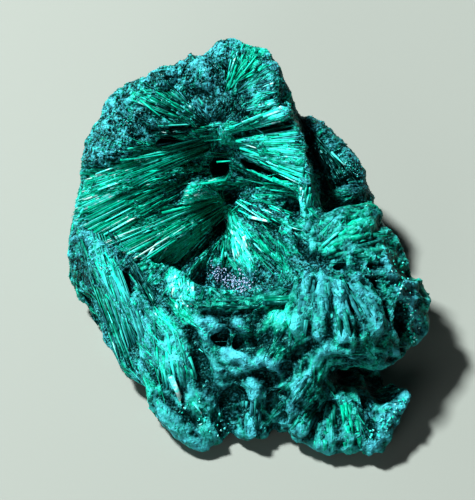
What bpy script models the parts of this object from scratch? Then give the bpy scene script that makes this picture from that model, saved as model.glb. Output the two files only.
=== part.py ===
"""A fibrous malachite specimen: sprays of needle crystals grown together round a hollow, one solid stone.

Run it with blender --background --python part.py. Sizes are in millimetres here and metres in the scene.
The frame is +Z up with the origin under the middle of the stone, on the face that it rests on.
"""

import math

import bmesh
import bpy
from mathutils import Matrix, Vector, noise

MM = 0.001

# Driving dimensions, in millimetres
BODY_VOXEL = 0.5
FINE_VOXEL = 0.38
CUTTER_VOXEL = 0.3
RIDGE_DEPTH = 0.8
RIDGE_PITCH = 3.2
ROUGH_DEPTH = 0.4
ROUGH_PITCH = 3.2
MOST_TRIANGLES = 9400
FOOT_CUT = 0.0
FOOT_SLACK = 0.06
CUTTER_SIZE = 80.0

MALACHITE_GREEN = (0.01, 0.30, 0.20, 1.0)
MALACHITE_ROUGHNESS = 0.55

# The stone's mass, as blocks with flat broken sides: the corners of each, whose convex hull is the block.
BLOCKS = {
    "body": [
        (-11.0, 19.3, 17.6), (-0.9, 22.0, 20.2), (2.4, 21.3, 20.0), (4.9, 16.4, 18.2), (-15.7, 16.8, 15.4),
        (-17.8, 13.6, 13.8), (-17.5, 9.4, 13.0), (-19.2, 4.0, 11.6), (-12.4, -7.4, 8.8), (-6.1, -11.0, 8.3),
        (4.1, -10.6, 9.0), (7.0, 7.4, 15.4), (8.3, 3.2, 12.5), (-20.4, 1.0, 7.0), (-19.8, -1.2, 2.0),
        (-16.4, -5.4, -0.4), (-12.2, -11.0, -0.6), (-6.2, -18.0, -0.6), (1.5, -16.0, -0.6), (10.0, 6.0, -0.6),
        (8.0, 13.0, -0.6), (-1.0, 17.0, -0.6), (-11.0, 13.5, -0.6), (-15.5, 6.0, -0.6),
        (6.5, 20.0, 3.0), (-1.0, 24.0, 6.0), (-12.5, 19.5, 4.0), (-17.2, 9.0, 2.0),
    ],
    "front_left": [
        (-12.2, -7.6, 8.6), (-5.0, -10.2, 8.6), (-10.9, -15.6, 4.0), (-8.0, -19.6, 1.6), (-5.0, -21.0, 1.0),
        (-1.4, -19.6, 1.2), (-1.0, -17.2, 3.6), (-10.8, -15.6, 0.2), (-9.0, -12.0, -0.6), (-1.0, -12.0, -0.6), (-5.0, -19.0, -0.6),
    ],
    "middle": [
        (-3.2, -13.0, 6.6), (1.8, -13.4, 8.0), (5.6, -12.6, 9.6), (9.0, -14.2, 8.0), (3.2, -17.2, 4.6),
        (5.7, -17.6, 5.0), (10.0, -16.6, 4.4), (2.3, -18.6, 1.8), (0.2, -18.6, 1.8), (4.0, -19.0, 0.6),
        (0.0, -15.0, -0.6), (8.0, -15.0, -0.6), (0.0, -9.0, 2.0), (8.0, -8.0, 3.0),
    ],
    "lobe": [
        (9.4, 3.3, 13.5), (14.2, 4.2, 12.8), (16.2, 2.0, 11.8), (17.8, -2.2, 9.8), (20.6, -5.6, 7.2),
        (20.6, -8.1, 6.0), (18.2, -12.6, 6.2), (5.6, -12.8, 9.6), (4.4, -9.4, 10.4), (5.9, -3.2, 9.5),
        (6.4, 1.5, 12.5), (11.2, -2.9, 14.0), (8.8, -9.9, 12.8), (15.3, -7.6, 12.0), (13.6, -12.2, 10.8),
        (12.0, -15.2, 7.2), (14.8, -14.4, 6.5), (16.5, -6.0, 2.5), (14.0, 3.0, 2.0), (8.0, -11.0, 3.0),
    ],
    "low_lobe": [
        (18.2, -15.2, 4.6), (17.4, -18.2, 3.6), (14.4, -21.9, 1.3), (11.0, -22.4, 1.4), (7.8, -21.8, 1.2),
        (4.1, -19.3, 1.4), (4.6, -17.6, 4.4), (9.6, -16.2, 4.6), (12.6, -16.6, 4.6), (8.0, -19.0, -0.6),
        (14.0, -18.0, -0.6), (13.0, -6.0, -0.2), (4.0, -10.0, -0.6),
    ],
    "shoulder": [
        (5.6, 18.0, 12.0), (10.4, 15.2, 10.4), (13.9, 10.0, 8.7), (14.8, 7.8, 7.3), (14.6, 3.0, 5.0),
        (12.5, 11.5, 0.5), (5.0, 20.0, 2.0), (15.0, 3.0, 1.0), (3.0, 15.0, 12.0), (6.0, 4.0, 8.0),
    ],
}

# Hollows between the sprays, cut out of the blocks in the same way.
HOLLOWS = {
    "left_bowl": [
        (-3.6, 12.2, 11.6), (-2.8, 10.0, 9.4), (-1.9, 8.0, 8.2), (-2.6, 6.0, 7.4), (-3.4, 3.0, 6.2),
        (-20.8, 8.6, 13.2), (-20.8, 4.0, 12.4), (-17.0, 1.6, 10.6), (-13.0, 0.6, 9.2), (-10.5, -0.8, 8.0),
        (-8.3, -2.6, 6.8), (-5.0, -3.0, 5.8), (-14.0, 10.2, 12.7), (-10.3, 11.4, 12.5), (-7.5, 12.0, 12.2),
        (-20.8, 9.2, 24.0), (-20.8, 2.0, 24.0), (-8.0, -3.0, 24.0), (-4.5, -3.0, 24.0), (-13.5, 11.0, 24.0),
        (-4.0, 12.8, 24.0), (-2.0, 6.0, 24.0),
    ],
    "right_bowl": [
        (-3.4, 12.0, 12.0), (-2.2, 10.0, 9.4), (-1.4, 8.2, 8.2), (-2.3, 6.0, 7.4), (-3.2, 3.0, 6.2),
        (-0.7, -0.6, 5.0), (1.9, -0.6, 5.6), (3.0, 3.2, 7.8), (5.4, 4.0, 9.6), (6.0, 5.2, 11.2),
        (6.2, 7.0, 12.2), (-3.4, 12.2, 22.0), (6.2, 7.2, 22.0), (5.6, 3.0, 22.0), (1.9, -1.0, 22.0),
        (-3.0, 2.0, 22.0),
    ],
    "low_valley": [
        (-4.6, -1.0, 5.2), (1.2, -1.2, 4.9), (-3.0, 2.4, 5.8), (1.6, 1.8, 6.2), (-5.4, -5.0, 7.0),
        (3.4, -5.4, 7.8), (-8.0, -2.6, 6.8), (4.4, -1.0, 7.6), (-8.0, -3.2, 20.0), (-5.4, -6.0, 20.0),
        (3.4, -6.4, 20.0), (4.6, -0.8, 20.0), (0.0, 2.0, 20.0),
    ],
}

# Each spray of needles: where its needles start, where the middle ones end, half width and half thickness.
SPRAYS = {
    # the dark crest at the back, with its own two small sprays
    "crest_spray": ((-2.2, 16.4, 14.0), (0.8, 20.9, 19.0), 2.8, 1.9),
    "crest_knob": ((-3.0, 12.8, 11.6), (-1.8, 16.0, 16.0), 2.4, 1.9),
    "crest_left_spray": ((-4.6, 13.6, 11.8), (-11.4, 16.6, 15.6), 3.0, 2.2),
    "crest_end": ((-6.0, 12.0, 10.0), (-15.6, 13.2, 14.2), 3.4, 2.2),
    "crest_right": ((-1.5, 13.0, 12.0), (3.6, 16.4, 16.8), 2.8, 2.2),
    # the fan that rises from the hollow to the left rim
    "ledge": ((-4.2, 12.4, 11.2), (-13.8, 11.0, 12.6), 1.5, 1.1),
    "left_fan_top": ((-3.4, 12.2, 10.6), (-17.4, 9.6, 12.6), 2.9, 2.2),
    "left_fan_upper": ((-3.0, 11.0, 9.8), (-18.0, 6.4, 11.6), 3.2, 2.2),
    "left_fan_middle": ((-2.6, 9.2, 8.6), (-16.6, 2.6, 10.0), 3.0, 2.1),
    "left_fan_lower": ((-2.4, 7.4, 7.4), (-12.6, -0.2, 8.2), 2.9, 2.1),
    "left_fan_low": ((-2.8, 5.0, 5.8), (-8.8, -2.6, 6.0), 2.6, 2.0),
    "tongue": ((-1.9, 8.0, 8.6), (-7.0, 6.8, 10.8), 1.9, 1.2),
    # the wing of needles on the right of the hollow
    "wing_upper": ((-3.6, 13.2, 12.2), (4.6, 13.6, 16.4), 1.7, 1.4),
    "wing_middle": ((-3.2, 12.4, 12.0), (6.4, 9.4, 15.0), 2.1, 1.6),
    "wing_lower": ((-2.8, 11.6, 11.4), (7.4, 5.4, 13.2), 1.9, 1.6),
    "inner_upper": ((-1.6, 8.8, 8.2), (5.2, 6.6, 11.4), 1.7, 1.4),
    "inner_right": ((-1.6, 8.0, 7.6), (4.8, 4.2, 9.6), 1.8, 1.4),
    "inner_low": ((-1.9, 7.0, 6.8), (3.0, 2.2, 7.6), 1.9, 1.4),
    "lower_fan": ((-2.4, 6.0, 5.8), (1.4, -1.0, 5.6), 2.2, 1.5),
    "lower_fan_left": ((-3.0, 4.8, 5.4), (-4.4, -1.2, 5.4), 1.7, 1.3),
    # long strips down the left side
    "left_side_upper": ((-19.0, 4.6, 9.4), (-10.8, -9.4, 6.4), 2.3, 2.0),
    "left_side_lower": ((-18.8, 3.4, 5.2), (-11.2, -12.4, 2.2), 3.0, 2.0),
    # the front on the left
    "front_ridge": ((-10.5, -3.4, 6.4), (0.6, -13.4, 6.6), 1.9, 1.9),
    "front_left_top": ((-12.0, -5.5, 6.4), (-5.6, -14.8, 4.8), 3.0, 2.4),
    "front_left_foot": ((-11.0, -8.5, 3.6), (-6.4, -18.6, 1.8), 3.4, 2.0),
    "front_inner": ((-5.0, -8.0, 5.4), (-2.2, -16.6, 3.2), 2.8, 2.2),
    # the big lobe on the right, whose needles spread from its back left corner
    "lobe_wedge": ((7.2, -4.4, 8.0), (2.4, -13.0, 7.4), 2.2, 1.9),
    "lobe_blade": ((7.6, -2.4, 10.4), (14.2, 2.6, 12.0), 2.4, 1.6),
    "lobe_back": ((7.0, -3.0, 8.0), (11.4, 3.0, 11.2), 3.0, 2.3),
    "lobe_right": ((7.4, -3.4, 8.4), (16.0, -2.2, 9.2), 3.2, 2.5),
    "lobe_front_right": ((7.6, -4.0, 9.0), (18.2, -6.6, 7.6), 3.4, 2.8),
    "lobe_corner": ((7.8, -4.4, 9.8), (15.6, -11.4, 8.6), 3.0, 2.6),
    "lobe_front": ((7.4, -4.6, 9.6), (11.2, -13.4, 9.2), 3.2, 2.4),
    "lobe_front_left": ((7.0, -4.8, 9.2), (6.6, -13.0, 9.0), 2.4, 2.0),
    "strand": ((8.6, -12.6, 7.6), (4.0, -18.2, 4.0), 1.3, 1.5),
    # the low lobe in front of it
    "low_lobe_left": ((8.0, -15.0, 3.8), (5.4, -20.2, 1.8), 2.6, 1.8),
    "low_lobe_wedge": ((9.8, -15.0, 4.2), (11.2, -21.4, 2.0), 2.2, 1.9),
    "low_lobe_right": ((11.0, -16.0, 3.2), (16.6, -16.6, 3.4), 1.8, 1.6),
    "low_lobe_corner": ((11.0, -16.6, 2.4), (15.4, -20.2, 1.9), 2.3, 1.6),
    # the shoulder behind on the right, and the back
    "shoulder_upper": ((3.0, 12.0, 7.0), (8.4, 14.4, 8.8), 3.4, 2.9),
    "shoulder_lower": ((4.0, 8.0, 5.5), (12.0, 8.8, 5.8), 3.6, 3.0),
    "back_right": ((-1.0, 12.0, 8.0), (4.6, 20.0, 8.0), 4.4, 4.4),
    "back_middle": ((-3.0, 12.0, 9.0), (-4.5, 21.8, 9.5), 5.0, 5.0),
    "back_left": ((-5.0, 11.0, 7.0), (-13.2, 17.0, 7.5), 4.6, 4.8),
}

# Pits and cracks, cut out as lumps: centre, half sizes, and turn about X and Z in degrees.
PITS = {
    "throat": ((-3.0, 11.0, 11.0), (1.1, 1.7, 4.6), 38, 0),
    "throat_low": ((-1.6, 8.2, 9.0), (0.9, 1.1, 3.6), 38, 0),
    "seam_slit": ((-3.0, 5.0, 7.4), (0.7, 1.6, 2.8), 38, 8),
    "crack": ((-7.5, 12.6, 13.0), (3.4, 0.8, 2.8), 50, -6),
    "crest_crack": ((-4.4, 17.8, 17.2), (2.0, 0.8, 1.8), 38, 12),
    "crest_pit": ((-9.2, 17.4, 16.8), (1.0, 0.8, 1.5), 38, 0),
    "wing_slot": ((1.4, 12.0, 16.0), (4.2, 0.75, 3.0), 38, 12),
    "wing_crease": ((2.2, 9.0, 12.8), (5.2, 0.75, 2.8), 38, -32),
    "inner_pit": ((5.2, 4.8, 11.2), (0.9, 0.9, 2.8), 38, 0),
    "lobe_apex": ((7.8, -2.6, 11.6), (1.3, 0.9, 3.2), 38, 0),
    "lobe_crack": ((9.7, -4.9, 13.6), (0.9, 1.3, 2.4), 38, -20),
    "lobe_pit": ((10.0, -12.8, 12.2), (0.9, 0.9, 2.4), 38, 0),
    "lobe_side": ((16.9, -9.2, 10.0), (0.75, 2.4, 2.2), 30, -8),
    "cave": ((15.0, -15.4, 4.4), (2.6, 1.25, 4.6), 66, 10),
    "front_hollow": ((-0.9, -17.4, 4.4), (1.3, 1.9, 3.4), 38, 0),
    "front_pit_left": ((-2.8, -10.9, 8.2), (0.9, 1.0, 3.0), 38, 0),
    "front_pit_right": ((-0.2, -11.8, 8.4), (1.2, 0.8, 2.6), 38, 0),
    "middle_pit": ((3.4, -15.4, 7.2), (1.5, 1.0, 3.0), 38, 0),
    "side_slit": ((-13.3, -4.4, 9.2), (0.7, 1.5, 1.8), 38, 24),
    "front_notch": ((2.6, -20.6, 0.6), (1.0, 2.2, 1.6), 0, 0),
}

SPRAY_NARROW = 0.16
SPRAY_FLUTE_DEPTH = 0.16
SPRAY_FLUTES = 2.4
SPRAY_JAG = 0.9
SPHERE_DETAIL = 4
SEED_STEP = 3.7


def clear_scene():
    for old in list(bpy.data.objects):
        bpy.data.objects.remove(old)


def spray_frame(start, end):
    """Axes of a spray: across, through and along, as columns of a matrix."""
    along = (Vector(end) - Vector(start)).normalized()
    across = along.cross(Vector((0.0, 0.0, 1.0)))
    across.normalize()
    through = along.cross(across)
    return Matrix((across, through, along)).transposed()


def add_spray(bm, start, end, half_width, half_thickness, seed):
    """A pear-shaped bundle with flutes that spread from its narrow end, and a jagged far end."""
    ball = bmesh.ops.create_icosphere(bm, subdivisions=SPHERE_DETAIL, radius=1.0)
    length = (Vector(end) - Vector(start)).length
    axes = spray_frame(start, end)
    for vertex in ball["verts"]:
        unit = vertex.co.copy()
        t = (unit.z + 1.0) / 2.0
        side = Vector((unit.x, unit.y)).normalized() if abs(unit.z) < 0.9999 else Vector((1.0, 0.0))
        ring = Vector((side.x * SPRAY_FLUTES, side.y * SPRAY_FLUTES, seed))
        swell = SPRAY_NARROW + (1.0 - SPRAY_NARROW) * t**0.8
        swell *= 1.0 + SPRAY_FLUTE_DEPTH * noise.noise(ring * 1.7)
        jag = SPRAY_JAG * t**3 * noise.noise(Vector((unit.x * 3.0, unit.y * 3.0, seed + 9.0)))
        local = Vector((unit.x * half_width * swell, unit.y * half_thickness * swell, t * length * 1.04 + jag))
        vertex.co = (Vector(start) + axes @ local) * MM


def add_lump(bm, centre, half_sizes, turn_x=0.0, turn_z=0.0):
    ball = bmesh.ops.create_icosphere(bm, subdivisions=SPHERE_DETAIL, radius=1.0)
    turn = Matrix.Rotation(math.radians(turn_z), 4, "Z") @ Matrix.Rotation(math.radians(turn_x), 4, "X")
    place = Matrix.Translation(Vector(centre) * MM) @ turn
    stretch = Matrix.Diagonal((*(Vector(half_sizes) * MM), 1.0))
    bmesh.ops.transform(bm, matrix=place @ stretch, verts=ball["verts"])


def add_block(bm, corners):
    """The convex hull of the corners, without the corners that it doesn't use."""
    points = [bm.verts.new(Vector(corner) * MM) for corner in corners]
    bmesh.ops.convex_hull(bm, input=points)
    unused = [point for point in points if not point.link_faces]
    bmesh.ops.delete(bm, geom=unused, context="VERTS")


def new_object(name, bm, collection):
    mesh = bpy.data.meshes.new(name)
    bm.to_mesh(mesh)
    bm.free()
    made = bpy.data.objects.new(name, mesh)
    collection.objects.link(made)
    return made


def collection_named(name):
    made = bpy.data.collections.new(name)
    bpy.context.scene.collection.children.link(made)
    return made


def as_helper(helper):
    helper.hide_render = True
    helper.display_type = "WIRE"
    return helper


def with_modifiers_applied(stone):
    """Puts the evaluated mesh in place of the stone's own, and clears its modifiers."""
    bpy.context.view_layer.update()
    graph = bpy.context.evaluated_depsgraph_get()
    stone.data = bpy.data.meshes.new_from_object(stone.evaluated_get(graph))
    stone.modifiers.clear()


def remesh(stone, voxel):
    modifier = stone.modifiers.new("Fuse", "REMESH")
    modifier.mode = "VOXEL"
    modifier.voxel_size = voxel * MM


def cut(stone, cutter):
    modifier = stone.modifiers.new("Cut", "BOOLEAN")
    modifier.operation = "DIFFERENCE"
    modifier.object = cutter


def nearest_spray(point):
    """The spray whose needles fill this point: the smallest distance from its line, by its own width."""
    best, best_score = None, 1e9
    for start, end, half_width, half_thickness in SPRAYS.values():
        line = Vector(end) - Vector(start)
        t = max(0.0, min(1.0, (point - Vector(start)).dot(line) / line.length_squared))
        girth = (half_width + half_thickness) / 2.0 * (SPRAY_NARROW + (1.0 - SPRAY_NARROW) * t)
        score = (point - (Vector(start) + line * t)).length / girth
        if score < best_score:
            best, best_score = (Vector(start), line), score
    return best


def ridge_height(point, start, line):
    """Ridges that run along the needles: the pattern depends on the needle's direction, hardly on distance."""
    reach = point - (start - line * 0.35)
    direction = reach.normalized() * (line.length / RIDGE_PITCH)
    sharp = 0.45 - 2.0 * abs(noise.noise(direction * 2.0))
    broad = noise.noise(direction + Vector((7.0, 3.0, 1.0)))
    return 0.6 * sharp + 0.7 * broad


def roughen(stone):
    """Moves each vertex along its normal, by the ridges of its spray and a little rock noise."""
    bm = bmesh.new()
    bm.from_mesh(stone.data)
    bm.normal_update()
    for vertex in bm.verts:
        point = vertex.co / MM
        start, line = nearest_spray(point)
        rough = noise.noise(point / ROUGH_PITCH)
        height = RIDGE_DEPTH * ridge_height(point, start, line) + ROUGH_DEPTH * rough
        vertex.co += vertex.normal * height * MM
    bm.to_mesh(stone.data)
    bm.free()


def thin_out(stone):
    modifier = stone.modifiers.new("Thin out", "DECIMATE")
    modifier.ratio = MOST_TRIANGLES / sum(len(face.vertices) - 2 for face in stone.data.polygons)


def malachite():
    made = bpy.data.materials.new("malachite")
    made.use_nodes = True
    shader = made.node_tree.nodes["Principled BSDF"]
    shader.inputs["Base Color"].default_value = MALACHITE_GREEN
    shader.inputs["Roughness"].default_value = MALACHITE_ROUGHNESS
    return made


def fused_cutter(name, bm, collection):
    """One closed skin round all the shapes in bm, because a Boolean needs that of a cutter."""
    cutter = new_object(name, bm, collection)
    remesh(cutter, CUTTER_VOXEL)
    with_modifiers_applied(cutter)
    return as_helper(cutter)


def hollows_cutter(collection):
    bm = bmesh.new()
    for corners in HOLLOWS.values():
        add_block(bm, corners)
    return fused_cutter("hollows_cutter", bm, collection)


def pits_cutter(collection):
    bm = bmesh.new()
    for centre, half_sizes, turn_x, turn_z in PITS.values():
        add_lump(bm, centre, half_sizes, turn_x, turn_z)
    return fused_cutter("pits_cutter", bm, collection)


def foot_cutter(collection):
    bm = bmesh.new()
    bmesh.ops.create_cube(bm, size=CUTTER_SIZE * MM)
    drop = Vector((0.0, 0.0, (FOOT_CUT - CUTTER_SIZE / 2.0) * MM))
    bmesh.ops.translate(bm, vec=drop, verts=bm.verts)
    return as_helper(new_object("foot_cutter", bm, collection))


def add_sprays(stone):
    bm = bmesh.new()
    bm.from_mesh(stone.data)
    for number, spray in enumerate(SPRAYS.values()):
        add_spray(bm, *spray, seed=number * SEED_STEP)
    bm.to_mesh(stone.data)
    bm.free()


def broken_blocks(collection, cutters):
    """The blocks, fused into one mass and hollowed."""
    bm = bmesh.new()
    for corners in BLOCKS.values():
        add_block(bm, corners)
    mass = new_object("malachite", bm, collection)
    remesh(mass, BODY_VOXEL)
    with_modifiers_applied(mass)
    cut(mass, hollows_cutter(cutters))
    with_modifiers_applied(mass)
    return mass


def centre_over_origin(stone):
    """Moves the stone sideways until the middle of its box is over the origin."""
    for axis in (0, 1):
        reach = [vertex.co[axis] for vertex in stone.data.vertices]
        middle = (min(reach) + max(reach)) / 2.0
        for vertex in stone.data.vertices:
            vertex.co[axis] -= middle


def linked_to(first):
    """All the vertices that edges join to this one."""
    found = {first}
    waiting = [first]
    while waiting:
        vertex = waiting.pop()
        for edge in vertex.link_edges:
            other = edge.other_vert(vertex)
            if other not in found:
                found.add(other)
                waiting.append(other)
    return found


def drop_crumbs(stone):
    """Keeps the largest body alone, without loose crumbs or bubbles."""
    bm = bmesh.new()
    bm.from_mesh(stone.data)
    rest = set(bm.verts)
    bodies = []
    while rest:
        body = linked_to(next(iter(rest)))
        rest -= body
        bodies.append(body)
    bodies.sort(key=len)
    crumbs = [vertex for body in bodies[:-1] for vertex in body]
    bmesh.ops.delete(bm, geom=crumbs, context="VERTS")
    bm.to_mesh(stone.data)
    bm.free()


def level_foot(stone):
    """Puts back on the ground the corners of the foot that thinning out has lifted a little."""
    for vertex in stone.data.vertices:
        if vertex.co.z < FOOT_SLACK * MM:
            vertex.co.z = FOOT_CUT * MM


def build_stone():
    parts = collection_named("malachite_specimen")
    cutters = collection_named("cutters")
    stone = broken_blocks(parts, cutters)
    add_sprays(stone)
    remesh(stone, BODY_VOXEL)
    with_modifiers_applied(stone)
    cut(stone, pits_cutter(cutters))
    with_modifiers_applied(stone)
    remesh(stone, FINE_VOXEL)
    with_modifiers_applied(stone)
    roughen(stone)
    remesh(stone, FINE_VOXEL)
    with_modifiers_applied(stone)
    cut(stone, foot_cutter(cutters))
    with_modifiers_applied(stone)
    drop_crumbs(stone)
    thin_out(stone)
    with_modifiers_applied(stone)
    level_foot(stone)
    centre_over_origin(stone)
    stone.data.materials.clear()
    stone.data.materials.append(malachite())


clear_scene()
build_stone()
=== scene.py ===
"""The looks of the malachite specimen: a fine skin over the stone, and its needles as joined meshes.

Sizes are in millimetres, and turn to metres with MM. The table of sprays is in the stone's own frame before
it was centred, so STONE_SHIFT is added to it. The other tables give pixels of the photograph, which
under_pixel turns to places on the stone.
"""

import math

import bmesh
import bpy
import numpy as np
from mathutils import Matrix, Vector, noise
from mathutils.bvhtree import BVHTree


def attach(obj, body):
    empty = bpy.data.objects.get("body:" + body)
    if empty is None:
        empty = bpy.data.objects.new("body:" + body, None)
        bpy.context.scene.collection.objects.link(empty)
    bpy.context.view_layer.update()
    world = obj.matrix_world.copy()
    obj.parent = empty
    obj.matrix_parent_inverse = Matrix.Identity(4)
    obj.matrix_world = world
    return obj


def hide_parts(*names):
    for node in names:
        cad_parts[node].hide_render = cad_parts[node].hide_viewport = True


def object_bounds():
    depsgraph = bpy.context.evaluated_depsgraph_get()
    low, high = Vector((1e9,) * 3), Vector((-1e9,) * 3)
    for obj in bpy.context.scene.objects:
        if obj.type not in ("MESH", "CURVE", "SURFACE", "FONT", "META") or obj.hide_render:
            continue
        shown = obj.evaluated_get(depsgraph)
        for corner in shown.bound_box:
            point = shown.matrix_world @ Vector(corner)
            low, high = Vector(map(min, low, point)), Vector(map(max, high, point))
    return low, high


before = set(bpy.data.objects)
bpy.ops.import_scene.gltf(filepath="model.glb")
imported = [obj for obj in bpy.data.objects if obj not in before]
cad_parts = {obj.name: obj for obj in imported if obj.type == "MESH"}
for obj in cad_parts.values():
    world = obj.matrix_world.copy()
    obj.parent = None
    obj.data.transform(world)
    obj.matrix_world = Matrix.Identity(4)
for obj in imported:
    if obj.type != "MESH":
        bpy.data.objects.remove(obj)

cad_low, cad_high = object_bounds()

MM = 0.001
SEED = 20

# The photograph's view: VIEW_BACK points from the target to the camera.
PHOTO_WIDTH, PHOTO_HEIGHT = 475, 500
VIEW_ELEVATION = math.radians(52.0)
VIEW_BACK = Vector((0.0, -math.cos(VIEW_ELEVATION), math.sin(VIEW_ELEVATION)))
VIEW_UP = Vector((0.0, math.sin(VIEW_ELEVATION), math.cos(VIEW_ELEVATION)))
VIEW_DISTANCE = 220.0
PIXELS_PER_MM = 9.0
SENSOR = 36.0
STONE_SHIFT = Vector((-0.075, -1.158, 0.0))
VIEW_TARGET = Vector((-1.0, 0.17, 9.14)) + STONE_SHIFT

# The skin
SKIN_VOXEL = 0.28
MERGE = 0.001
STRAND_PITCH, STRAND_DEPTH = 0.6, 0.16
GRIT_PITCH, GRIT_DEPTH = 0.8, 0.10
FOOT_BAND, FOOT_START = 0.35, 0.2
SKIN_INSET = 0.2
APEX_BEHIND = 0.35
SPRAY_NARROW = 0.16
SPRAY_STEP = (7.3, 3.1, 5.7)
EDGE_ROUNDS, EDGE_MIX, EDGE_FULL = 14, 0.5, 0.14
# Height of a ridge's crest, and how fast it falls to the sides
RIDGE, LUMP_RIDGE = (0.35, 1.6), (0.3, 1.7)
LUMP_PITCH, LUMP_FIELD = 1.9, 2.2
LUMP_MEAN, LUMP_SWING = 0.6, 1.1

# Seeds of the noises, and how a seed shifts the place that is read
BLOTCH_SEED, BUNDLE_SEED, STRAND_SEED, GRIT_SEED, LUMP_SEED, SPECK_SEED = 4, 5, 6, 7, 8, 9
SHADE_SEEDS, FIELD_SEED, FAN_SEED = (11, 12), 13, 3
NOISE_STEP = (1.0, 1.7, 2.3)

# Tint, bloom and velvet where no mark reaches: the value, and its noise's strength, pitch and seed
PLAIN = ((0.36, 0.12, 3.0, 1), (0.12, 0.25, 2.2, 2), (0.30, 0.5, 4.0, 3))
# Blotches and specks where velvet shows: their pitches, and how strongly each changes tint and bloom
BLOTCH_PITCH, SPECK_PITCH = 1.5, 0.5
VELVET_TINT, VELVET_BLOOM = (0.28, 0.40), (0.70, 1.20)
VELVET_GRAIN = 0.6
# Light and dark strands, painted light and shade of single needles mixed with tone that differs at random:
# strength and pitches
SHADE, SHADE_PITCHES = 0.40, (0.80, 0.30)
# Painted shade in the hollows and a lighter tint on the ridges: how much ridges and hollows change tint and
# bloom
RIDGE_TINT, HOLLOW_PAINTED_SHADE, HOLLOW_BLOOM = 0.10, 0.34, 0.4
RIDGE_BLOOM, RIDGE_BLOOM_SCALE, RIDGE_BLOOM_FROM = 0.25, 0.9, 0.1
# Painted shade: the skin is a little darker than the needles over it, so the gaps between needles look shaded
SKIN_GAP_SHADE = 0.06

# The needles and shards: how many, their shapes and how far they may stand off the stone
NEEDLES, SHARDS = 50000, 3600
MOST_PER_PIECE = 16000
NEEDLE_SIDES, SHARD_SIDES = 4, 6
NEEDLE_TAPER, SHARD_TAPER, WIDE_TAPER = 0.45, 0.75, 0.4
END_SLANT = 0.3
BOX_MARGIN, LOW_TIP, LOW_ROOT = 0.5, 0.1, 0.3
BACK_SHARE = 0.45
MOST_LIFT, MOST_SHARD_LIFT = 0.08, 0.12
SHORTENING = (0.65, 0.6, 0.5, 0.4)
GRAIN_ALONG, GRAIN_APART = (1.0, 1.0, 0.1), 3.0
ROOT_DARKER, ROOT_BLOOM = 0.10, 0.4
# Needles that lie along the skin, and stubs that stand on it where the needles end
END_ON = 0.8
LYING_LIFT, LYING_SPREAD = 0.05, 0.022
STANDING_OUT, STANDING_SPREAD = 0.5, 0.4
NEEDLE_ROLL = 0.5
LYING_LENGTH, LYING_RANGE = (3.0, 1.0), (0.7, 7.0)
LYING_WIDTH = (0.09, 0.26)
STUB_LENGTH, STUB_WIDTH, STUB_SUNK = (0.12, 0.34), (0.12, 0.30), 0.55
NEEDLE_THICK, NEEDLE_SUNK = (0.5, 0.9), 0.25
KEPT_DARK, KEPT_BY_TINT = 0.15, 4.0
SIDE_SPREAD, END_SPREAD, END_MIDDLE = 0.05, 0.45, 0.45
# Painted glints: this share of the needles gets this much lighter tint
GLINT_SHARE, GLINT = 0.006, 0.45
STUB_BLOOM, LYING_BLOOM = 1.2, 0.4
# Shards
SHARD_VELVET = 0.7
SHARD_LIFT, SHARD_SPREAD, SHARD_ROLL = 0.10, 0.04, 0.45
SHARD_LENGTH, SHARD_RANGE, SHARD_LEAST = (4.0, 0.9), (1.2, 7.0), 0.8
SHARD_WIDTH, SHARD_THICK, SHARD_SUNK = (0.35, 1.1), (0.35, 0.8), 0.28
SHARD_SHADE, SHARD_TINT, SHARD_BLOOM = 0.6, (0.04, 0.12), 1.2
# Drawn needles: where they start and how long they are as shares of their spray, and the steepest to the view
FAN_START, FAN_LENGTH, FAN_END = (-0.02, 0.85), (0.10, 0.42), 1.03
FAN_LEAST, DEEP = 0.3, 0.68
FAN_NARROW, FAN_ROLL, FAN_THICK, FAN_BLOOM = 0.55, 0.4, (0.5, 0.8), (0.2, 1.4)
FAN_STRAND, FAN_ALONG = 7.0, 1.6
# Where the widest is over WIDE, and elsewhere: how far out of the skin as a share of the width, strength of
# the strands, which are painted light and shade mixed with random tone, and spread of the tint
WIDE = 0.5
WIDE_FINISH, FINE_FINISH = (-0.16, 0.30, 0.06), (0.10, 0.44, 0.13)
# Painted glints: this share of the thin drawn needles gets this near-white tint
FAN_GLINT_SHARE, FAN_GLINT = 0.04, 0.97
# Tiny crystals, whose pale tints are painted glitter
CRYSTAL_LENGTH, CRYSTAL_THICK, CRYSTAL_SUNK = (0.8, 1.6), 0.8, 0.4
CRYSTAL_TINT, CRYSTAL_BLOOM = (0.5, 1.05), (0.3, 1.5)
STRIP_THICK = 0.7

# The finishes: stops of the greens by tint, the near-white top stop serving the painted glints, and the
# colours over them
GREENS = (
    (0.0, (0.0, 0.007, 0.006)),
    (0.2, (0.0, 0.046, 0.037)),
    (0.42, (0.0, 0.225, 0.135)),
    (0.6, (0.0, 0.5, 0.3)),
    (0.78, (0.008, 0.74, 0.555)),
    (0.92, (0.12, 0.88, 0.82)),
    (1.0, (0.66, 0.95, 0.9)),
)
BLOOM_BLUE, BLOOM_STRENGTH = (0.10, 0.54, 0.65, 1.0), 0.8
SILK_TINT, SILK_LEVEL = (0.10, 0.95, 0.85, 1.0), 0.35
# The druzy's crystals blend from their dark colour to a pale lilac that is painted sparkle, their highlights
LILAC_DARK, LILAC_HIGHLIGHT, LILAC_ROUGH = (0.01, 0.03, 0.06, 1.0), (0.52, 0.66, 0.92, 1.0), 0.25
SMOOTHEST, ROUGHEST = 0.34, 0.75
# Scale and detail of the noises in the materials, and how strongly each changes tint and bloom
STREAKS, SPECKLE, MOTTLE, LILAC_MOTTLE = (5.0, 2.0), (3600.0, 1.0), (2200.0, 1.0), (2600.0, 1.0)
STREAK_TINT, SPECKLE_TINT, SPECKLE_BLOOM = 0.9, 0.7, 2.4
MOTTLE_TINT, MOTTLE_BLOOM, LILAC_TINT = 0.35, 0.8, 0.6
BUMP_STRENGTH, BUMP_DEPTH, BUMP_SPECKLE = 0.9, 0.15, 0.8

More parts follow.
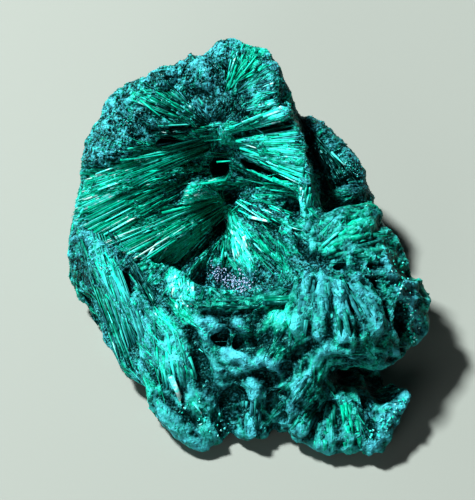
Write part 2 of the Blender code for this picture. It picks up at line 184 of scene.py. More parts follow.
# The studio: each light's direction from the stone, distance, size and power
FLOOR_SIZE, FLOOR_ROUGH = 900.0, 0.8
FLOOR_COLOUR = (0.295, 0.330, 0.300, 1.0)
LIGHTS = {
    "key": ((-0.50, 0.35, 0.79), 800.0, 100.0, 12.3),
    "fill": ((-0.40, -0.88, 0.36), 500.0, 260.0, 0.62),
}
LIT_HEIGHT = 8.0
SKY_COLOUR, SKY_STRENGTH = (0.9, 0.95, 1.0, 1.0), 0.034

# Floors that keep the pits shallow: the pit's pixel, a pixel beside it, how far behind that the floor's
# middle lies as the camera sees it, and its radius.
PIT_FLOORS = {
    "crest_dark": ((205, 80), (205, 94), 1.6, 2),
    "crest_small": ((163, 83), (163, 94), 1.3, 1.5),
    "lobe_apex": ((318, 254), (306, 264), 1.5, 1.5),
    "front_left_pit": ((220, 336), (210, 345), 1.9, 1.3),
    "front_right_pit": ((244, 339), (252, 350), 1.9, 1.4),
    "middle_pit": ((277, 371), (262, 360), 2, 1.6),
    "front_hollow": ((234, 399), (214, 392), 2.6, 2.3),
}
# Small knobs at the front foot: pixel, height over the floor and radius.
FOOT_KNOBS = {
    "left": ((246, 426), 1.7, 1.7),
    "right": ((262, 428), 1.4, 1.4),
}

# Each family of sprays, by these columns: pitch and depth of its bundles on the skin, depth of its rock-like
# lumps, share of the scattered points that keep a needle, share that carry a thick shard, and how strong its
# fine grain is.
BUNDLE_PITCH, BUNDLE_DEPTH, LUMP_DEPTH, NEEDLE_SHARE, SHARD_SHARE, GRAIN = range(6)
FAMILIES = {
    "crest": (1.2, 0.15, 0.5, 0.8, 0, 0.9),
    "fan": (1.3, 0.25, 0, 0.45, 0.2, 1),
    "wing": (1.3, 0.25, 0, 0.4, 0.2, 1),
    "side": (1.8, 0.4, 0.1, 0.35, 0.3, 0.8),
    "front": (2.6, 0.45, 0.4, 0.08, 0.03, 0.4),
    "lobe": (2.6, 0.45, 0.3, 0.08, 0.03, 0.4),
    "back": (1.6, 0.45, 0.4, 0.5, 0.2, 0.8),
}

# The sprays of needles: apex, far end, half width and half thickness at the far end. A name starts with the
# spray's family.
SPRAYS = {
    "crest_spray": ((-2.2, 16.4, 14), (0.8, 20.9, 19), 2.8, 1.9),
    "crest_knob": ((-3, 12.8, 11.6), (-1.8, 16, 16), 2.4, 1.9),
    "crest_left_spray": ((-4.6, 13.6, 11.8), (-11.4, 16.6, 15.6), 3, 2.2),
    "crest_end": ((-6, 12, 10), (-15.6, 13.2, 14.2), 3.4, 2.2),
    "crest_right": ((-1.5, 13, 12), (3.6, 16.4, 16.8), 2.8, 2.2),
    "fan_ledge": ((-4.2, 12.4, 11.2), (-13.8, 11, 12.6), 1.5, 1.1),
    "fan_top": ((-3.4, 12.2, 10.6), (-17.4, 9.6, 12.6), 2.9, 2.2),
    "fan_upper": ((-3, 11, 9.8), (-18, 6.4, 11.6), 3.2, 2.2),
    "fan_middle": ((-2.6, 9.2, 8.6), (-16.6, 2.6, 10), 3, 2.1),
    "fan_lower": ((-2.4, 7.4, 7.4), (-12.6, -0.2, 8.2), 2.9, 2.1),
    "fan_low": ((-2.8, 5, 5.8), (-8.8, -2.6, 6), 2.6, 2),
    "fan_tongue": ((-1.9, 8, 8.6), (-7, 6.8, 10.8), 1.9, 1.2),
    "wing_upper": ((-3.6, 13.2, 12.2), (4.6, 13.6, 16.4), 1.7, 1.4),
    "wing_middle": ((-3.2, 12.4, 12), (6.4, 9.4, 15), 2.1, 1.6),
    "wing_lower": ((-2.8, 11.6, 11.4), (7.4, 5.4, 13.2), 1.9, 1.6),
    "wing_inner_upper": ((-1.6, 8.8, 8.2), (5.2, 6.6, 11.4), 1.7, 1.4),
    "wing_inner_right": ((-1.6, 8, 7.6), (4.8, 4.2, 9.6), 1.8, 1.4),
    "wing_inner_low": ((-1.9, 7, 6.8), (3, 2.2, 7.6), 1.9, 1.4),
    "wing_lower_fan": ((-2.4, 6, 5.8), (1.4, -1, 5.6), 2.2, 1.5),
    "wing_lower_fan_left": ((-3, 4.8, 5.4), (-4.4, -1.2, 5.4), 1.7, 1.3),
    "side_upper": ((-19, 4.6, 9.4), (-10.8, -9.4, 6.4), 2.3, 2),
    "side_lower": ((-18.8, 3.4, 5.2), (-11.2, -12.4, 2.2), 3, 2),
    "front_ridge": ((-10.5, -3.4, 6.4), (0.6, -13.4, 6.6), 1.9, 1.9),
    "front_left_top": ((-12, -5.5, 6.4), (-5.6, -14.8, 4.8), 3, 2.4),
    "front_left_foot": ((-11, -8.5, 3.6), (-6.4, -18.6, 1.8), 3.4, 2),
    "front_inner": ((-5, -8, 5.4), (-2.2, -16.6, 3.2), 2.8, 2.2),
    "lobe_wedge": ((7.2, -4.4, 8), (2.4, -13, 7.4), 2.2, 1.9),
    "lobe_blade": ((7.6, -2.4, 10.4), (14.2, 2.6, 12), 2.4, 1.6),
    "lobe_back": ((7, -3, 8), (11.4, 3, 11.2), 3, 2.3),
    "lobe_right": ((7.4, -3.4, 8.4), (16, -2.2, 9.2), 3.2, 2.5),
    "lobe_front_right": ((7.6, -4, 9), (18.2, -6.6, 7.6), 3.4, 2.8),
    "lobe_corner": ((7.8, -4.4, 9.8), (15.6, -11.4, 8.6), 3, 2.6),
    "lobe_front": ((7.4, -4.6, 9.6), (11.2, -13.4, 9.2), 3.2, 2.4),
    "lobe_front_left": ((7, -4.8, 9.2), (6.6, -13, 9), 2.4, 2),
    "front_strand": ((8.6, -12.6, 7.6), (4, -18.2, 4), 1.3, 1.5),
    "front_low_left": ((8, -15, 3.8), (5.4, -20.2, 1.8), 2.6, 1.8),
    "front_low_wedge": ((9.8, -15, 4.2), (11.2, -21.4, 2), 2.2, 1.9),
    "front_low_right": ((11, -16, 3.2), (16.6, -16.6, 3.4), 1.8, 1.6),
    "front_low_corner": ((11, -16.6, 2.4), (15.4, -20.2, 1.9), 2.3, 1.6),
    "back_shoulder_upper": ((3, 12, 7), (8.4, 14.4, 8.8), 3.4, 2.9),
    "back_shoulder_lower": ((4, 8, 5.5), (12, 8.8, 5.8), 3.6, 3),
    "back_right": ((-1, 12, 8), (4.6, 20, 8), 4.4, 4.4),
    "back_middle": ((-3, 12, 9), (-4.5, 21.8, 9.5), 5, 5),
    "back_left": ((-5, 11, 7), (-13.2, 17, 7.5), 4.6, 4.8),
}

# How the stone changes where the photograph shows it. Each mark runs from one pixel to another, and fades
# with distance: its radius, tint from black-green 0 to white-green 1, bloom 0 to 1, velvet, from 0 for
# needles seen along their sides to 1 for their ends, and how far it lifts the skin.
# Painted light: fan_dark and wing_end lift the tint of needles that the stone itself shades.
# Painted shade: the marks named for a gap, slit, slot, hole, pit, crack, crease, seam, valley, hollow or the
# throat, and inner_needles and lobe_apex, give a dark tint that stands for the shade in these recesses.
MARKS = {
    "crest_end": ((105, 152), (130, 115), 3.2, 0.02, 0.16, 1, 1),
    "crest_top": ((150, 95), (222, 56), 3, 0.08, 0.12, 1, 0.9),
    "crest_right": ((262, 58), (274, 82), 1.6, 0.05, 0.1, 1, 0.5),
    "crest_middle": ((165, 105), (212, 92), 2, 0.18, 0.22, 0.7, 0),
    "crest_green_middle": ((170, 94), (186, 86), 0.8, 0.38, 0.05, 0.4, 0),
    "crest_green_right": ((250, 74), (272, 82), 1, 0.4, 0.1, 0.2, 0),
    "crest_green_end": ((124, 120), (138, 108), 0.9, 0.34, 0.05, 0.4, 0),
    "crest_green_top": ((204, 66), (222, 74), 1, 0.34, 0.05, 0.4, 0),
    "crest_dark_top": ((196, 78), (222, 74), 1.3, 0.03, 0.05, 0.9, -0.3),
    "crest_dark_end": ((128, 128), (146, 134), 1, 0.02, 0.05, 0.8, -0.4),
    "crest_dark_middle": ((186, 94), (214, 98), 0.8, 0, 0.05, 0.6, -0.5),
    "crest_dark_right": ((262, 84), (272, 96), 0.9, 0.05, 0.1, 0.9, -0.2),
    "crest_bloom_top": ((176, 76), (200, 68), 1, 0.24, 0.5, 1, 0.1),
    "crest_bloom_left": ((112, 128), (122, 142), 1.2, 0.14, 0.42, 1, 0.2),
    "crest_bloom_middle": ((168, 112), (200, 108), 0.8, 0.34, 0.8, 0.9, 0.2),
    "crest_bloom_right": ((246, 100), (262, 88), 0.9, 0.36, 0.85, 0.8, 0.2),
    "crest_spray": ((234, 84), (256, 48), 1.7, 0.48, 0.06, 0, -0.1),
    "crest_fan": ((146, 100), (202, 124), 1.3, 0.5, 0.1, 0, 0),
    "crest_knob": ((208, 108), (246, 105), 1.7, 0.02, 0.06, 0.2, 0.4),
    "crest_patch": ((262, 98), (280, 112), 0.9, 0.88, 0.9, 0.1, 0.2),
    "crest_patch_top": ((252, 88), (262, 98), 0.6, 0.66, 0.6, 0.2, 0.1),
    "crest_crack": ((154, 130), (190, 128), 0.5, 0, 0, 0.2, -0.8),
    "crest_hole_top": ((162, 92), (168, 96), 0.4, 0, 0, 0.5, -0.6),
    "crest_hole_end": ((132, 134), (138, 140), 0.5, 0, 0, 0.5, -0.6),
    "crest_hole_left": ((114, 126), (118, 130), 0.5, 0, 0, 0.5, -0.6),
    "crest_crack_right": ((200, 122), (222, 118), 0.4, 0, 0, 0.2, -0.6),
    "apex": ((208, 127), (222, 142), 0.9, 0.26, 0.15, 0.9, 0),
    "ledge": ((130, 150), (190, 140), 0.6, 0.62, 0.35, 0.1, 0.2),
    "crest_foot": ((98, 168), (128, 156), 0.8, 0.06, 0.2, 1, 0),
    "fan_rim": ((94, 178), (76, 215), 1.6, 0.66, 0.25, 0, 0),
    "fan_upper": ((110, 185), (172, 166), 2, 0.46, 0.08, 0, 0),
    "fan_dark": ((178, 162), (214, 152), 2, 0.5, 0.16, 0, 0.3),
    "fan_middle": ((110, 218), (175, 196), 1.8, 0.42, 0.06, 0, 0),
    "fan_hollow": ((176, 198), (190, 184), 0.8, 0.04, 0, 0, -0.3),
    "tongue": ((194, 190), (226, 180), 1, 0.66, 0.06, 0, 1),
    "tongue_shadow": ((184, 180), (222, 168), 0.6, 0.02, 0, 0, -0.4),
    "fan_below_tongue": ((160, 222), (225, 198), 1.4, 0.46, 0.06, 0, 0),
    "fan_low_rim": ((150, 252), (176, 240), 1.4, 0.62, 0.2, 0, 0),
    "fan_low": ((176, 236), (214, 216), 1.3, 0.36, 0.05, 0, 0),
    "fan_low_dark": ((206, 238), (190, 258), 0.7, 0.06, 0, 0, -0.3),
    "throat": ((222, 150), (223, 174), 0.9, 0, 0, 0, -0.3),
    "throat_low": ((229, 188), (231, 200), 0.7, 0, 0, 0, 0),
    "seam_slit": ((220, 224), (215, 236), 0.5, 0, 0, 0, -0.4),
    "wing_strip": ((216, 138), (286, 115), 0.7, 0.72, 0.5, 0, 0),
    "wing_slot": ((234, 131), (290, 122), 0.45, 0.04, 0, 0, 0.15),
    "wing": ((236, 144), (312, 166), 1.6, 0.66, 0.45, 0, 0),
    "wing_end": ((314, 172), (304, 206), 1.3, 0.86, 0.7, 0, 0.3),
    "wing_crease": ((240, 152), (304, 184), 0.9, 0.22, 0.1, 0, 0.8),
    "inner_right": ((246, 166), (290, 195), 1.5, 0.34, 0.12, 0, 0),
    "inner_needles": ((238, 203), (270, 224), 1.1, 0, 0, 0, -0.2),
    "inner_low": ((262, 206), (296, 214), 0.9, 0.22, 0.1, 0, -0.2),
    "inner_hole": ((293, 205), (297, 211), 0.5, 0, 0, 0, -0.6),
    "lobe_left_dark": ((300, 232), (306, 256), 0.8, 0.04, 0, 0, -0.3),
    "front_valley": ((262, 372), (236, 378), 0.7, 0.06, 0, 0, -0.4),
    "lower_fan": ((230, 214), (246, 262), 1, 0.76, 0.3, 0, 0),
    "lower_fan_right": ((266, 236), (300, 230), 1.3, 0.26, 0.1, 0, -0.2),
    "druzy": ((214, 276), (250, 284), 1.5, 0, 0.16, 1, -0.5),
    "druzy_rim": ((222, 262), (258, 257), 0.6, 0.76, 0.3, 0.2, 0.2),
    "turquoise_patch": ((174, 280), (190, 304), 1.2, 0.8, 0.55, 0.1, 0.5),
    "green_band": ((200, 303), (290, 300), 1.2, 0.42, 0, 0, 0.3),
    "band_gap": ((206, 314), (262, 312), 0.5, 0.06, 0, 0, -0.4),
    "side_face": ((90, 240), (135, 330), 3.2, 0.32, 0.64, 0, 0),
    "side_far": ((80, 262), (124, 352), 1.5, 0.14, 0.1, 0, 0),
    "side_dark": ((106, 236), (154, 304), 0.8, 0.1, 0.1, 0, -0.3),
    "side_slit": ((123, 280), (131, 297), 0.4, 0, 0, 0, -0.5),
    "side_line": ((100, 256), (132, 304), 0.9, 0.7, 0.75, 0, 0.4),
    "side_ridge_top": ((134, 300), (146, 342), 1, 0.5, 0.85, 0.1, 0.4),
    "side_ridge": ((144, 342), (140, 380), 1, 0.42, 0.75, 0.3, 0.3),
    "side_ridge_low": ((140, 380), (156, 418), 1, 0.36, 0.65, 0.3, 0.9),
    "front_left": ((162, 330), (186, 386), 1.9, 0.62, 0.65, 0, 0.1),
    "front_left_gap": ((190, 330), (206, 378), 0.8, 0.14, 0.05, 0, -0.5),
    "front_left_ridge": ((196, 322), (222, 384), 0.6, 0.48, 0.5, 0, 0.4),
    "front_needle_pit": ((172, 372), (182, 390), 0.7, 0, 0, 0, -0.4),
    "front_left_low": ((164, 408), (200, 440), 2, 0.34, 0.3, 0.2, 0.7),
    "front_left_bottom": ((182, 448), (240, 450), 1.2, 0.32, 0.6, 0.5, 0.9),
    "front_left_crease": ((160, 396), (196, 424), 0.5, 0.08, 0, 0, -0.4),
    "front_hollow": ((224, 392), (238, 424), 1.2, 0.1, 0.05, 0, -0.3),
    "front_post": ((254, 380), (252, 432), 0.7, 0.34, 0.65, 0.2, 0.6),
    "front_post_gap": ((242, 392), (240, 430), 0.5, 0.04, 0, 0, -0.5),
    "lump_left": ((206, 320), (218, 330), 0.7, 0.34, 0.9, 0.3, 0.6),
    "lump_right": ((238, 324), (250, 332), 0.7, 0.34, 0.9, 0.3, 0.6),
    "lobe_shade_right": ((384, 330), (410, 352), 1, 0.1, 0.2, 0.3, 0),
    "lobe_shade_left": ((270, 290), (292, 268), 1, 0.22, 0.05, 0, 0),
    "low_lobe_dark": ((300, 404), (286, 424), 0.9, 0.1, 0.05, 0, -0.2),
    "front_dark_left": ((204, 386), (222, 400), 0.9, 0.1, 0.05, 0.1, -0.3),
    "front_dark_seam": ((262, 376), (276, 396), 0.8, 0.04, 0, 0, -0.4),
    "front_green_middle": ((200, 350), (226, 376), 1, 0.34, 0.1, 0, 0),
    "lump_gap": ((224, 318), (232, 330), 0.6, 0.08, 0, 0, -0.4),
    "lump_low": ((226, 354), (242, 358), 0.8, 0.32, 0.9, 0.3, 0.5),
    "lump_pit_left": ((217, 336), (226, 343), 0.5, 0, 0, 0, -0.7),
    "lump_pit_right": ((238, 343), (242, 348), 0.4, 0, 0, 0, -0.6),
    "middle_wedge": ((256, 330), (288, 350), 1.8, 0.22, -0.3, 0, 0),
    "middle_wedge_gap": ((258, 344), (284, 336), 0.4, 0.1, 0, 0, -0.3),
    "middle_bright": ((276, 312), (296, 326), 1.1, 0.84, 0.45, 0, 0.5),
    "middle_strands": ((218, 372), (252, 368), 0.8, 0.4, 0.45, 0.1, 0.4),
    "middle_ridge": ((328, 348), (296, 390), 0.7, 0.36, 0.6, 0.3, 0.6),
    "middle_ridge_gap": ((312, 344), (276, 376), 0.6, 0.04, 0, 0, -0.5),
    "middle_knob": ((262, 362), (276, 368), 0.8, 0.32, 0.9, 0.3, 0.6),
    "lobe_top": ((326, 212), (384, 206), 1.6, 0.26, 0.7, 0.7, 0.1),
    "lobe_blade": ((328, 250), (372, 224), 0.8, 0.66, 0.25, 0, 0.5),
    "lobe_blade_gap": ((332, 256), (378, 238), 0.4, 0.06, 0, 0, -0.5),
    "lobe_blade_low": ((336, 262), (384, 250), 0.7, 0.56, 0.35, 0, 0.4),
    "lobe_blade_low_gap": ((340, 270), (386, 264), 0.4, 0.06, 0, 0, -0.5),
    "lobe_left_blade": ((312, 246), (300, 226), 0.6, 0.56, 0.5, 0, 0.4),
    "lobe_apex": ((316, 256), (324, 260), 0.5, 0, 0, 0, -0.3),
    "lobe_rib_far_left": ((306, 274), (296, 330), 0.6, 0.34, 0.55, 0.1, 0.4),
    "lobe_gap_left": ((314, 284), (308, 334), 0.4, 0.06, 0, 0, -0.6),
    "lobe_rib_left": ((320, 280), (318, 336), 0.6, 0.38, 0.8, 0.1, 0.5),
    "lobe_gap_middle": ((330, 290), (330, 338), 0.4, 0.06, 0, 0, -0.6),
    "lobe_rib_middle": ((338, 284), (344, 338), 0.7, 0.4, 0.75, 0.1, 0.5),
    "lobe_gap_right": ((352, 288), (360, 334), 0.4, 0.08, 0, 0, -0.6),
    "lobe_rib_right": ((358, 278), (378, 330), 0.8, 0.4, 0.65, 0.1, 0.4),
    "lobe_gap_far": ((376, 276), (392, 318), 0.4, 0.06, 0, 0, -0.6),
    "lobe_rib_far": ((384, 258), (402, 300), 0.8, 0.34, 0.6, 0.3, 0.1),
    "lobe_edge": ((410, 286), (420, 330), 0.9, 0.26, 0.5, 0.5, 0),
    "lobe_edge_slit": ((400, 306), (405, 346), 0.6, 0, 0, 0, -0.7),
    "lobe_low_ridge": ((336, 350), (398, 352), 0.5, 0.44, 0.55, 0, 0.4),
    "lobe_low_gap": ((334, 357), (396, 361), 0.35, 0.08, 0, 0, -0.4),
    "lobe_low_ridge_2": ((330, 364), (390, 369), 0.5, 0.46, 0.35, 0, 0.3),
    "low_lobe": ((292, 424), (330, 446), 2.2, 0.36, 0.3, 0.1, 0.4),
    "low_lobe_gap": ((330, 404), (306, 440), 0.5, 0.05, 0, 0, -0.5),
    "low_lobe_edge": ((276, 428), (316, 458), 0.8, 0.36, 0.5, 0.2, 1),
    "low_wedge": ((346, 402), (358, 456), 1, 0.64, 0.08, 0, 0.9),
    "low_wedge_gap": ((334, 404), (340, 446), 0.4, 0.06, 0, 0, -0.5),
    "low_ends": ((374, 444), (404, 396), 1.2, 0.2, 0.45, 0.9, 0.4),
    "low_ends_gap": ((368, 404), (374, 436), 0.5, 0.02, 0, 0, -0.5),
    "shoulder": ((316, 140), (352, 188), 3.6, 0.08, 0, 0.2, 1),
    "shoulder_back": ((308, 130), (344, 160), 1.8, 0.14, 0.1, 0.5, 0.5),
    "shoulder_bloom": ((340, 156), (358, 180), 0.9, 0.1, 0.55, 1, 0.1),
}

# The needles of each spray where the photograph shows them: two pixels across their start and two across
# their end, how many, narrowest and widest, tint at the start and at the end, and bloom.
# Painted shade: the strips drawn in the crest's crack are black. Painted light: the start tints of fan_top,
# fan_upper and fan_middle, and the tints of wing_end, are lifted where the stone shades these needles.
FANS = {
    "crest_spray": ((224, 94), (233, 84), (232, 52), (272, 66), 150, (0.14, 0.3), 0.48, 0.6, 0.12),
    "crest_spray_right": ((236, 92), (240, 98), (266, 66), (280, 94), 60, (0.14, 0.3), 0.14, 0.26, 0.4),
    "crest_fan": ((205, 129), (211, 122), (134, 102), (170, 90), 170, (0.12, 0.26), 0.16, 0.52, 0.1),
    "crest_fan_upper": ((206, 124), (212, 121), (168, 90), (200, 98), 40, (0.18, 0.36), 0.16, 0.4, 0.5),
    "wing_low": ((238, 151), (240, 154), (316, 170), (306, 188), 60, (0.2, 0.4), 0.5, 0.62, 0.3),
    "crest_knob": ((208, 120), (250, 115), (214, 99), (252, 94), 90, (0.16, 0.34), 0, 0.08, 0.04),
    "crest_ledge": ((204, 137), (204, 141), (128, 147), (124, 162), 70, (0.14, 0.3), 0.1, 0.56, 0.3),
    "crest_crack": ((208, 126), (208, 132), (152, 130), (156, 137), 44, (0.26, 0.5), 0, 0, 0),
    "apex_strips": ((194, 128), (196, 142), (238, 120), (240, 138), 60, (0.2, 0.4), 0.44, 0.6, 0.2),
    "crest_right_edge": ((240, 106), (246, 112), (266, 92), (278, 107), 60, (0.16, 0.36), 0.5, 0.84, 0.8),
    "fan_top": ((212, 141), (205, 136), (92, 178), (130, 160), 220, (0.13, 0.34), 0.36, 0.8, 0.12),
    "fan_upper": ((206, 152), (212, 142), (78, 216), (92, 178), 330, (0.13, 0.36), 0.4, 0.8, 0.12),
    "fan_middle": ((180, 196), (200, 160), (106, 240), (80, 216), 240, (0.13, 0.36), 0.32, 0.78, 0.06),
    "fan_tongue": ((229, 192), (224, 176), (184, 204), (190, 184), 160, (0.16, 0.38), 0.64, 0.84, 0.05),
    "fan_below": ((229, 200), (229, 193), (142, 256), (106, 238), 280, (0.13, 0.36), 0.48, 0.8, 0.06),
    "fan_low": ((224, 216), (227, 204), (172, 266), (142, 256), 200, (0.13, 0.36), 0.36, 0.82, 0.12),
    "fan_lowest": ((222, 232), (222, 218), (204, 264), (174, 266), 80, (0.2, 0.42), 0.1, 0.34, 0.05),
    "wing_strip": ((208, 137), (214, 139), (276, 108), (286, 120), 60, (0.22, 0.44), 0.62, 0.76, 0.5),
    "wing_broad": ((222, 142), (226, 146), (290, 124), (316, 164), 300, (0.14, 0.36), 0.52, 0.64, 0.5),
    "wing_end": ((300, 168), (318, 170), (296, 208), (313, 204), 40, (0.22, 0.44), 0.72, 0.74, 0.7),
    "inner_right": ((234, 188), (236, 176), (272, 164), (302, 196), 140, (0.12, 0.3), 0.3, 0.74, 0.1),
    "inner_low": ((234, 198), (236, 192), (266, 228), (300, 212), 26, (0.18, 0.34), 0.36, 0.72, 0.2),
    "lower_fan": ((226, 212), (231, 206), (232, 262), (254, 240), 150, (0.12, 0.3), 0.6, 0.84, 0.25),
    "lower_fan_left": ((224, 222), (228, 216), (216, 258), (232, 262), 40, (0.2, 0.4), 0.2, 0.46, 0.1),
    "lower_fan_right": ((240, 210), (254, 216), (266, 254), (304, 228), 110, (0.12, 0.32), 0.26, 0.6, 0.1),
    "side_face": ((86, 224), (108, 234), (124, 346), (146, 332), 170, (0.14, 0.34), 0.42, 0.46, 0.8),
    "side_far": ((74, 234), (84, 238), (116, 354), (132, 364), 110, (0.18, 0.36), 0.14, 0.22, 0.15),
    "side_bright": ((92, 242), (102, 240), (130, 306), (138, 300), 34, (0.22, 0.44), 0.74, 0.76, 0.7),
    "side_border": ((104, 226), (116, 232), (148, 302), (160, 300), 60, (0.18, 0.38), 0.08, 0.16, 0.05),
    "front_left": ((150, 320), (176, 318), (158, 388), (198, 380), 34, (0.22, 0.48), 0.62, 0.7, 0.6),
    "green_band": ((196, 302), (198, 312), (286, 294), (288, 306), 20, (0.5, 0.9), 0.26, 0.36, 0),
    "turquoise_patch": ((174, 274), (192, 280), (178, 312), (198, 300), 30, (0.36, 0.8), 0.8, 0.94, 0.5),
    "lobe_blade": ((324, 252), (327, 247), (358, 212), (394, 230), 36, (0.6, 1.2), 0.54, 0.62, 0.3),
    "lobe_blade_low": ((328, 258), (330, 252), (394, 234), (396, 262), 30, (0.6, 1.1), 0.46, 0.42, 0.4),
    "lobe_left_blade": ((314, 250), (320, 246), (290, 232), (322, 216), 40, (0.36, 0.7), 0.44, 0.5, 0.5),
    "lobe_ribs_left": ((308, 268), (326, 268), (292, 336), (338, 342), 30, (0.5, 1), 0.34, 0.38, 0.75),
    "lobe_ribs_right": ((328, 268), (338, 262), (342, 342), (404, 316), 44, (0.5, 1), 0.38, 0.36, 0.65),
    "lobe_low": ((322, 348), (330, 370), (404, 346), (396, 374), 44, (0.3, 0.6), 0.4, 0.34, 0.35),
    "low_lobe": ((322, 392), (334, 396), (280, 434), (338, 458), 44, (0.5, 1), 0.32, 0.36, 0.25),
    "low_wedge": ((341, 400), (350, 396), (346, 458), (368, 454), 26, (0.5, 1), 0.54, 0.58, 0.04),
    "low_ends": ((366, 402), (374, 396), (378, 442), (408, 412), 30, (0.4, 0.8), 0.22, 0.3, 0.75),
    "front_post": ((248, 380), (262, 380), (244, 436), (260, 436), 26, (0.3, 0.56), 0.34, 0.34, 0.65),
    "shoulder": ((296, 112), (304, 124), (328, 188), (358, 178), 60, (0.34, 0.5), 0.1, 0.08, 0),
}

# Single needles and strips that stand out: from one pixel to another, width, lift, tint and bloom.
# Tints of 0.92 and over are painted glints: highlights of needles and strips that catch the light.
NAMED_NEEDLES = {
    "throat_needle": ((217, 164), (231, 161), 0.24, 0.2, 0.7, 0),
    "glint_needle": ((171, 376), (181, 399), 0.7, 0.65, 1, 0),
    "glint_shard": ((249, 217), (267, 221), 0.42, 0.6, 1, 0),
    "rim_glint_low": ((78, 217), (102, 205), 0.26, 0.2, 0.98, 0),
    "rim_glint_top": ((98, 190), (118, 183), 0.2, 0.2, 0.96, 0),
    "rim_glint_upper": ((96, 174), (112, 168), 0.18, 0.2, 0.96, 0),
    "fan_glint": ((105, 222), (131, 208), 0.18, 0.2, 0.92, 0),
    "fan_glint_low": ((104, 235), (134, 218), 0.28, 0.2, 0.98, 0),
    "fan_strip_top": ((120, 160), (166, 154), 0.34, 0.1, 0.74, 0.1),
    "fan_strip_upper": ((100, 186), (158, 170), 0.36, 0.15, 0.74, 0.1),
    "fan_strip_middle": ((92, 196), (160, 178), 0.3, 0.15, 0.7, 0.1),
    "fan_strip_low": ((88, 208), (150, 190), 0.32, 0.15, 0.76, 0.1),
    "crest_spray_strip_2": ((231, 88), (256, 56), 0.24, 0.15, 0.66, 0.1),
    "crest_spray_strip": ((229, 88), (242, 46), 0.28, 0.15, 0.72, 0.1),
    "crest_green_strip": ((140, 100), (160, 116), 0.24, 0.15, 0.68, 0.1),
    "crack_rim": ((158, 126), (196, 124), 0.22, 0.15, 0.56, 0.6),
    "ledge_low": ((138, 157), (176, 149), 0.22, 0.15, 0.6, 0.4),
    "ledge_middle": ((160, 148), (198, 139), 0.24, 0.15, 0.66, 0.5),
    "ledge_end": ((128, 149), (160, 143), 0.26, 0.15, 0.72, 0.5),
    "tongue_strip": ((192, 186), (226, 180), 0.4, 0.15, 0.7, 0),
    "tongue_strip_low": ((190, 194), (224, 188), 0.34, 0.15, 0.66, 0),
    "low_fan_strip": ((162, 213), (214, 200), 0.34, 0.15, 0.66, 0),
    "low_fan_rim": ((126, 240), (150, 230), 0.34, 0.2, 0.88, 0.3),
    "low_fan_glint": ((148, 256), (156, 244), 0.28, 0.2, 1, 0),
    "low_fan_glint_2": ((158, 262), (168, 246), 0.24, 0.2, 0.97, 0),
    "wing_strip": ((214, 139), (256, 126), 0.42, 0.15, 0.86, 0.4),
    "wing_strip_end": ((250, 126), (284, 115), 0.46, 0.15, 0.72, 0.5),
    "wing_glint": ((244, 144), (256, 148), 0.18, 0.2, 1, 0),
    "wing_long": ((236, 141), (300, 150), 0.34, 0.15, 0.74, 0.4),
    "wing_long_low": ((240, 148), (308, 172), 0.34, 0.15, 0.76, 0.4),
    "wing_edge": ((300, 152), (314, 182), 0.36, 0.15, 0.7, 0.6),
    "inner_glint": ((236, 202), (262, 219), 0.2, 0.25, 0.96, 0.1),
    "inner_glint_2": ((240, 200), (272, 213), 0.22, 0.25, 0.94, 0.2),
    "inner_glint_3": ((252, 196), (280, 210), 0.2, 0.25, 0.92, 0.2),
    "inner_strip": ((256, 188), (292, 192), 0.26, 0.15, 0.72, 0.2),
    "inner_strip_low": ((238, 210), (250, 216), 0.2, 0.15, 0.86, 0.2),
    "lower_fan_glint": ((228, 228), (240, 244), 0.26, 0.2, 1, 0),
    "lower_fan_pale": ((234, 232), (254, 262), 0.34, 0.2, 0.94, 0.2),
    "lower_fan_pale_2": ((240, 228), (262, 252), 0.28, 0.2, 0.92, 0.2),
    "lower_fan_pale_3": ((226, 222), (236, 256), 0.26, 0.2, 0.88, 0.2),
    "side_line": ((112, 272), (134, 311), 0.4, 0.2, 0.86, 0.5),
    "side_line_long": ((96, 262), (120, 312), 0.34, 0.1, 0.7, 0.5),
    "front_glint": ((193, 402), (202, 414), 0.24, 0.2, 0.95, 0.2),
    "lobe_glint": ((322, 246), (338, 232), 0.34, 0.2, 0.92, 0.3),
    "lobe_blade_strip": ((334, 246), (372, 224), 0.44, 0.1, 0.66, 0.2),
    "lobe_blade_strip_2": ((330, 252), (364, 240), 0.4, 0.1, 0.6, 0.2),
}

# Tiny bright crystals: the line of pixels that they lie along, how many pixels they spread from it, how many,
# smallest and largest, and bloom.
# Their pale tints are painted glitter, highlights of the crystals' faces.
SPARKLES = {
    "druzy": ((214, 272), (250, 286), 10, 190, (0.08, 0.22), 0.5),
    "crest_end": ((104, 150), (132, 112), 18, 200, (0.05, 0.13), 0.5),
    "crest_top": ((150, 96), (230, 60), 18, 240, (0.05, 0.13), 0.5),
    "crest_right": ((262, 62), (280, 104), 10, 60, (0.06, 0.15), 0.5),
    "wing": ((240, 142), (310, 160), 10, 40, (0.08, 0.16), 0.2),
    "shoulder": ((336, 150), (358, 176), 7, 60, (0.08, 0.18), 0.5),
    "lobe_edge": ((396, 262), (416, 345), 9, 70, (0.14, 0.32), 0.3),
    "lobe_corner": ((350, 262), (390, 280), 12, 12, (0.12, 0.26), 0.3),
    "low_ends": ((372, 440), (404, 398), 8, 40, (0.14, 0.34), 0.3),
    "front_low": ((170, 400), (236, 446), 16, 40, (0.12, 0.3), 0.3),
    "turquoise": ((172, 284), (190, 306), 6, 30, (0.12, 0.34), 0.2),
    "side_far": ((82, 290), (124, 352), 6, 24, (0.08, 0.2), 0.2),
}


def linked(name, data):
    made = bpy.data.objects.new(name, data)
    bpy.context.scene.collection.objects.link(made)
    return made


def look_from(thing, direction):
    """Turns a camera or a light to look along the opposite of this direction."""
    thing.rotation_mode = "QUATERNION"
    thing.rotation_quaternion = (-direction).to_track_quat("-Z", "Y")


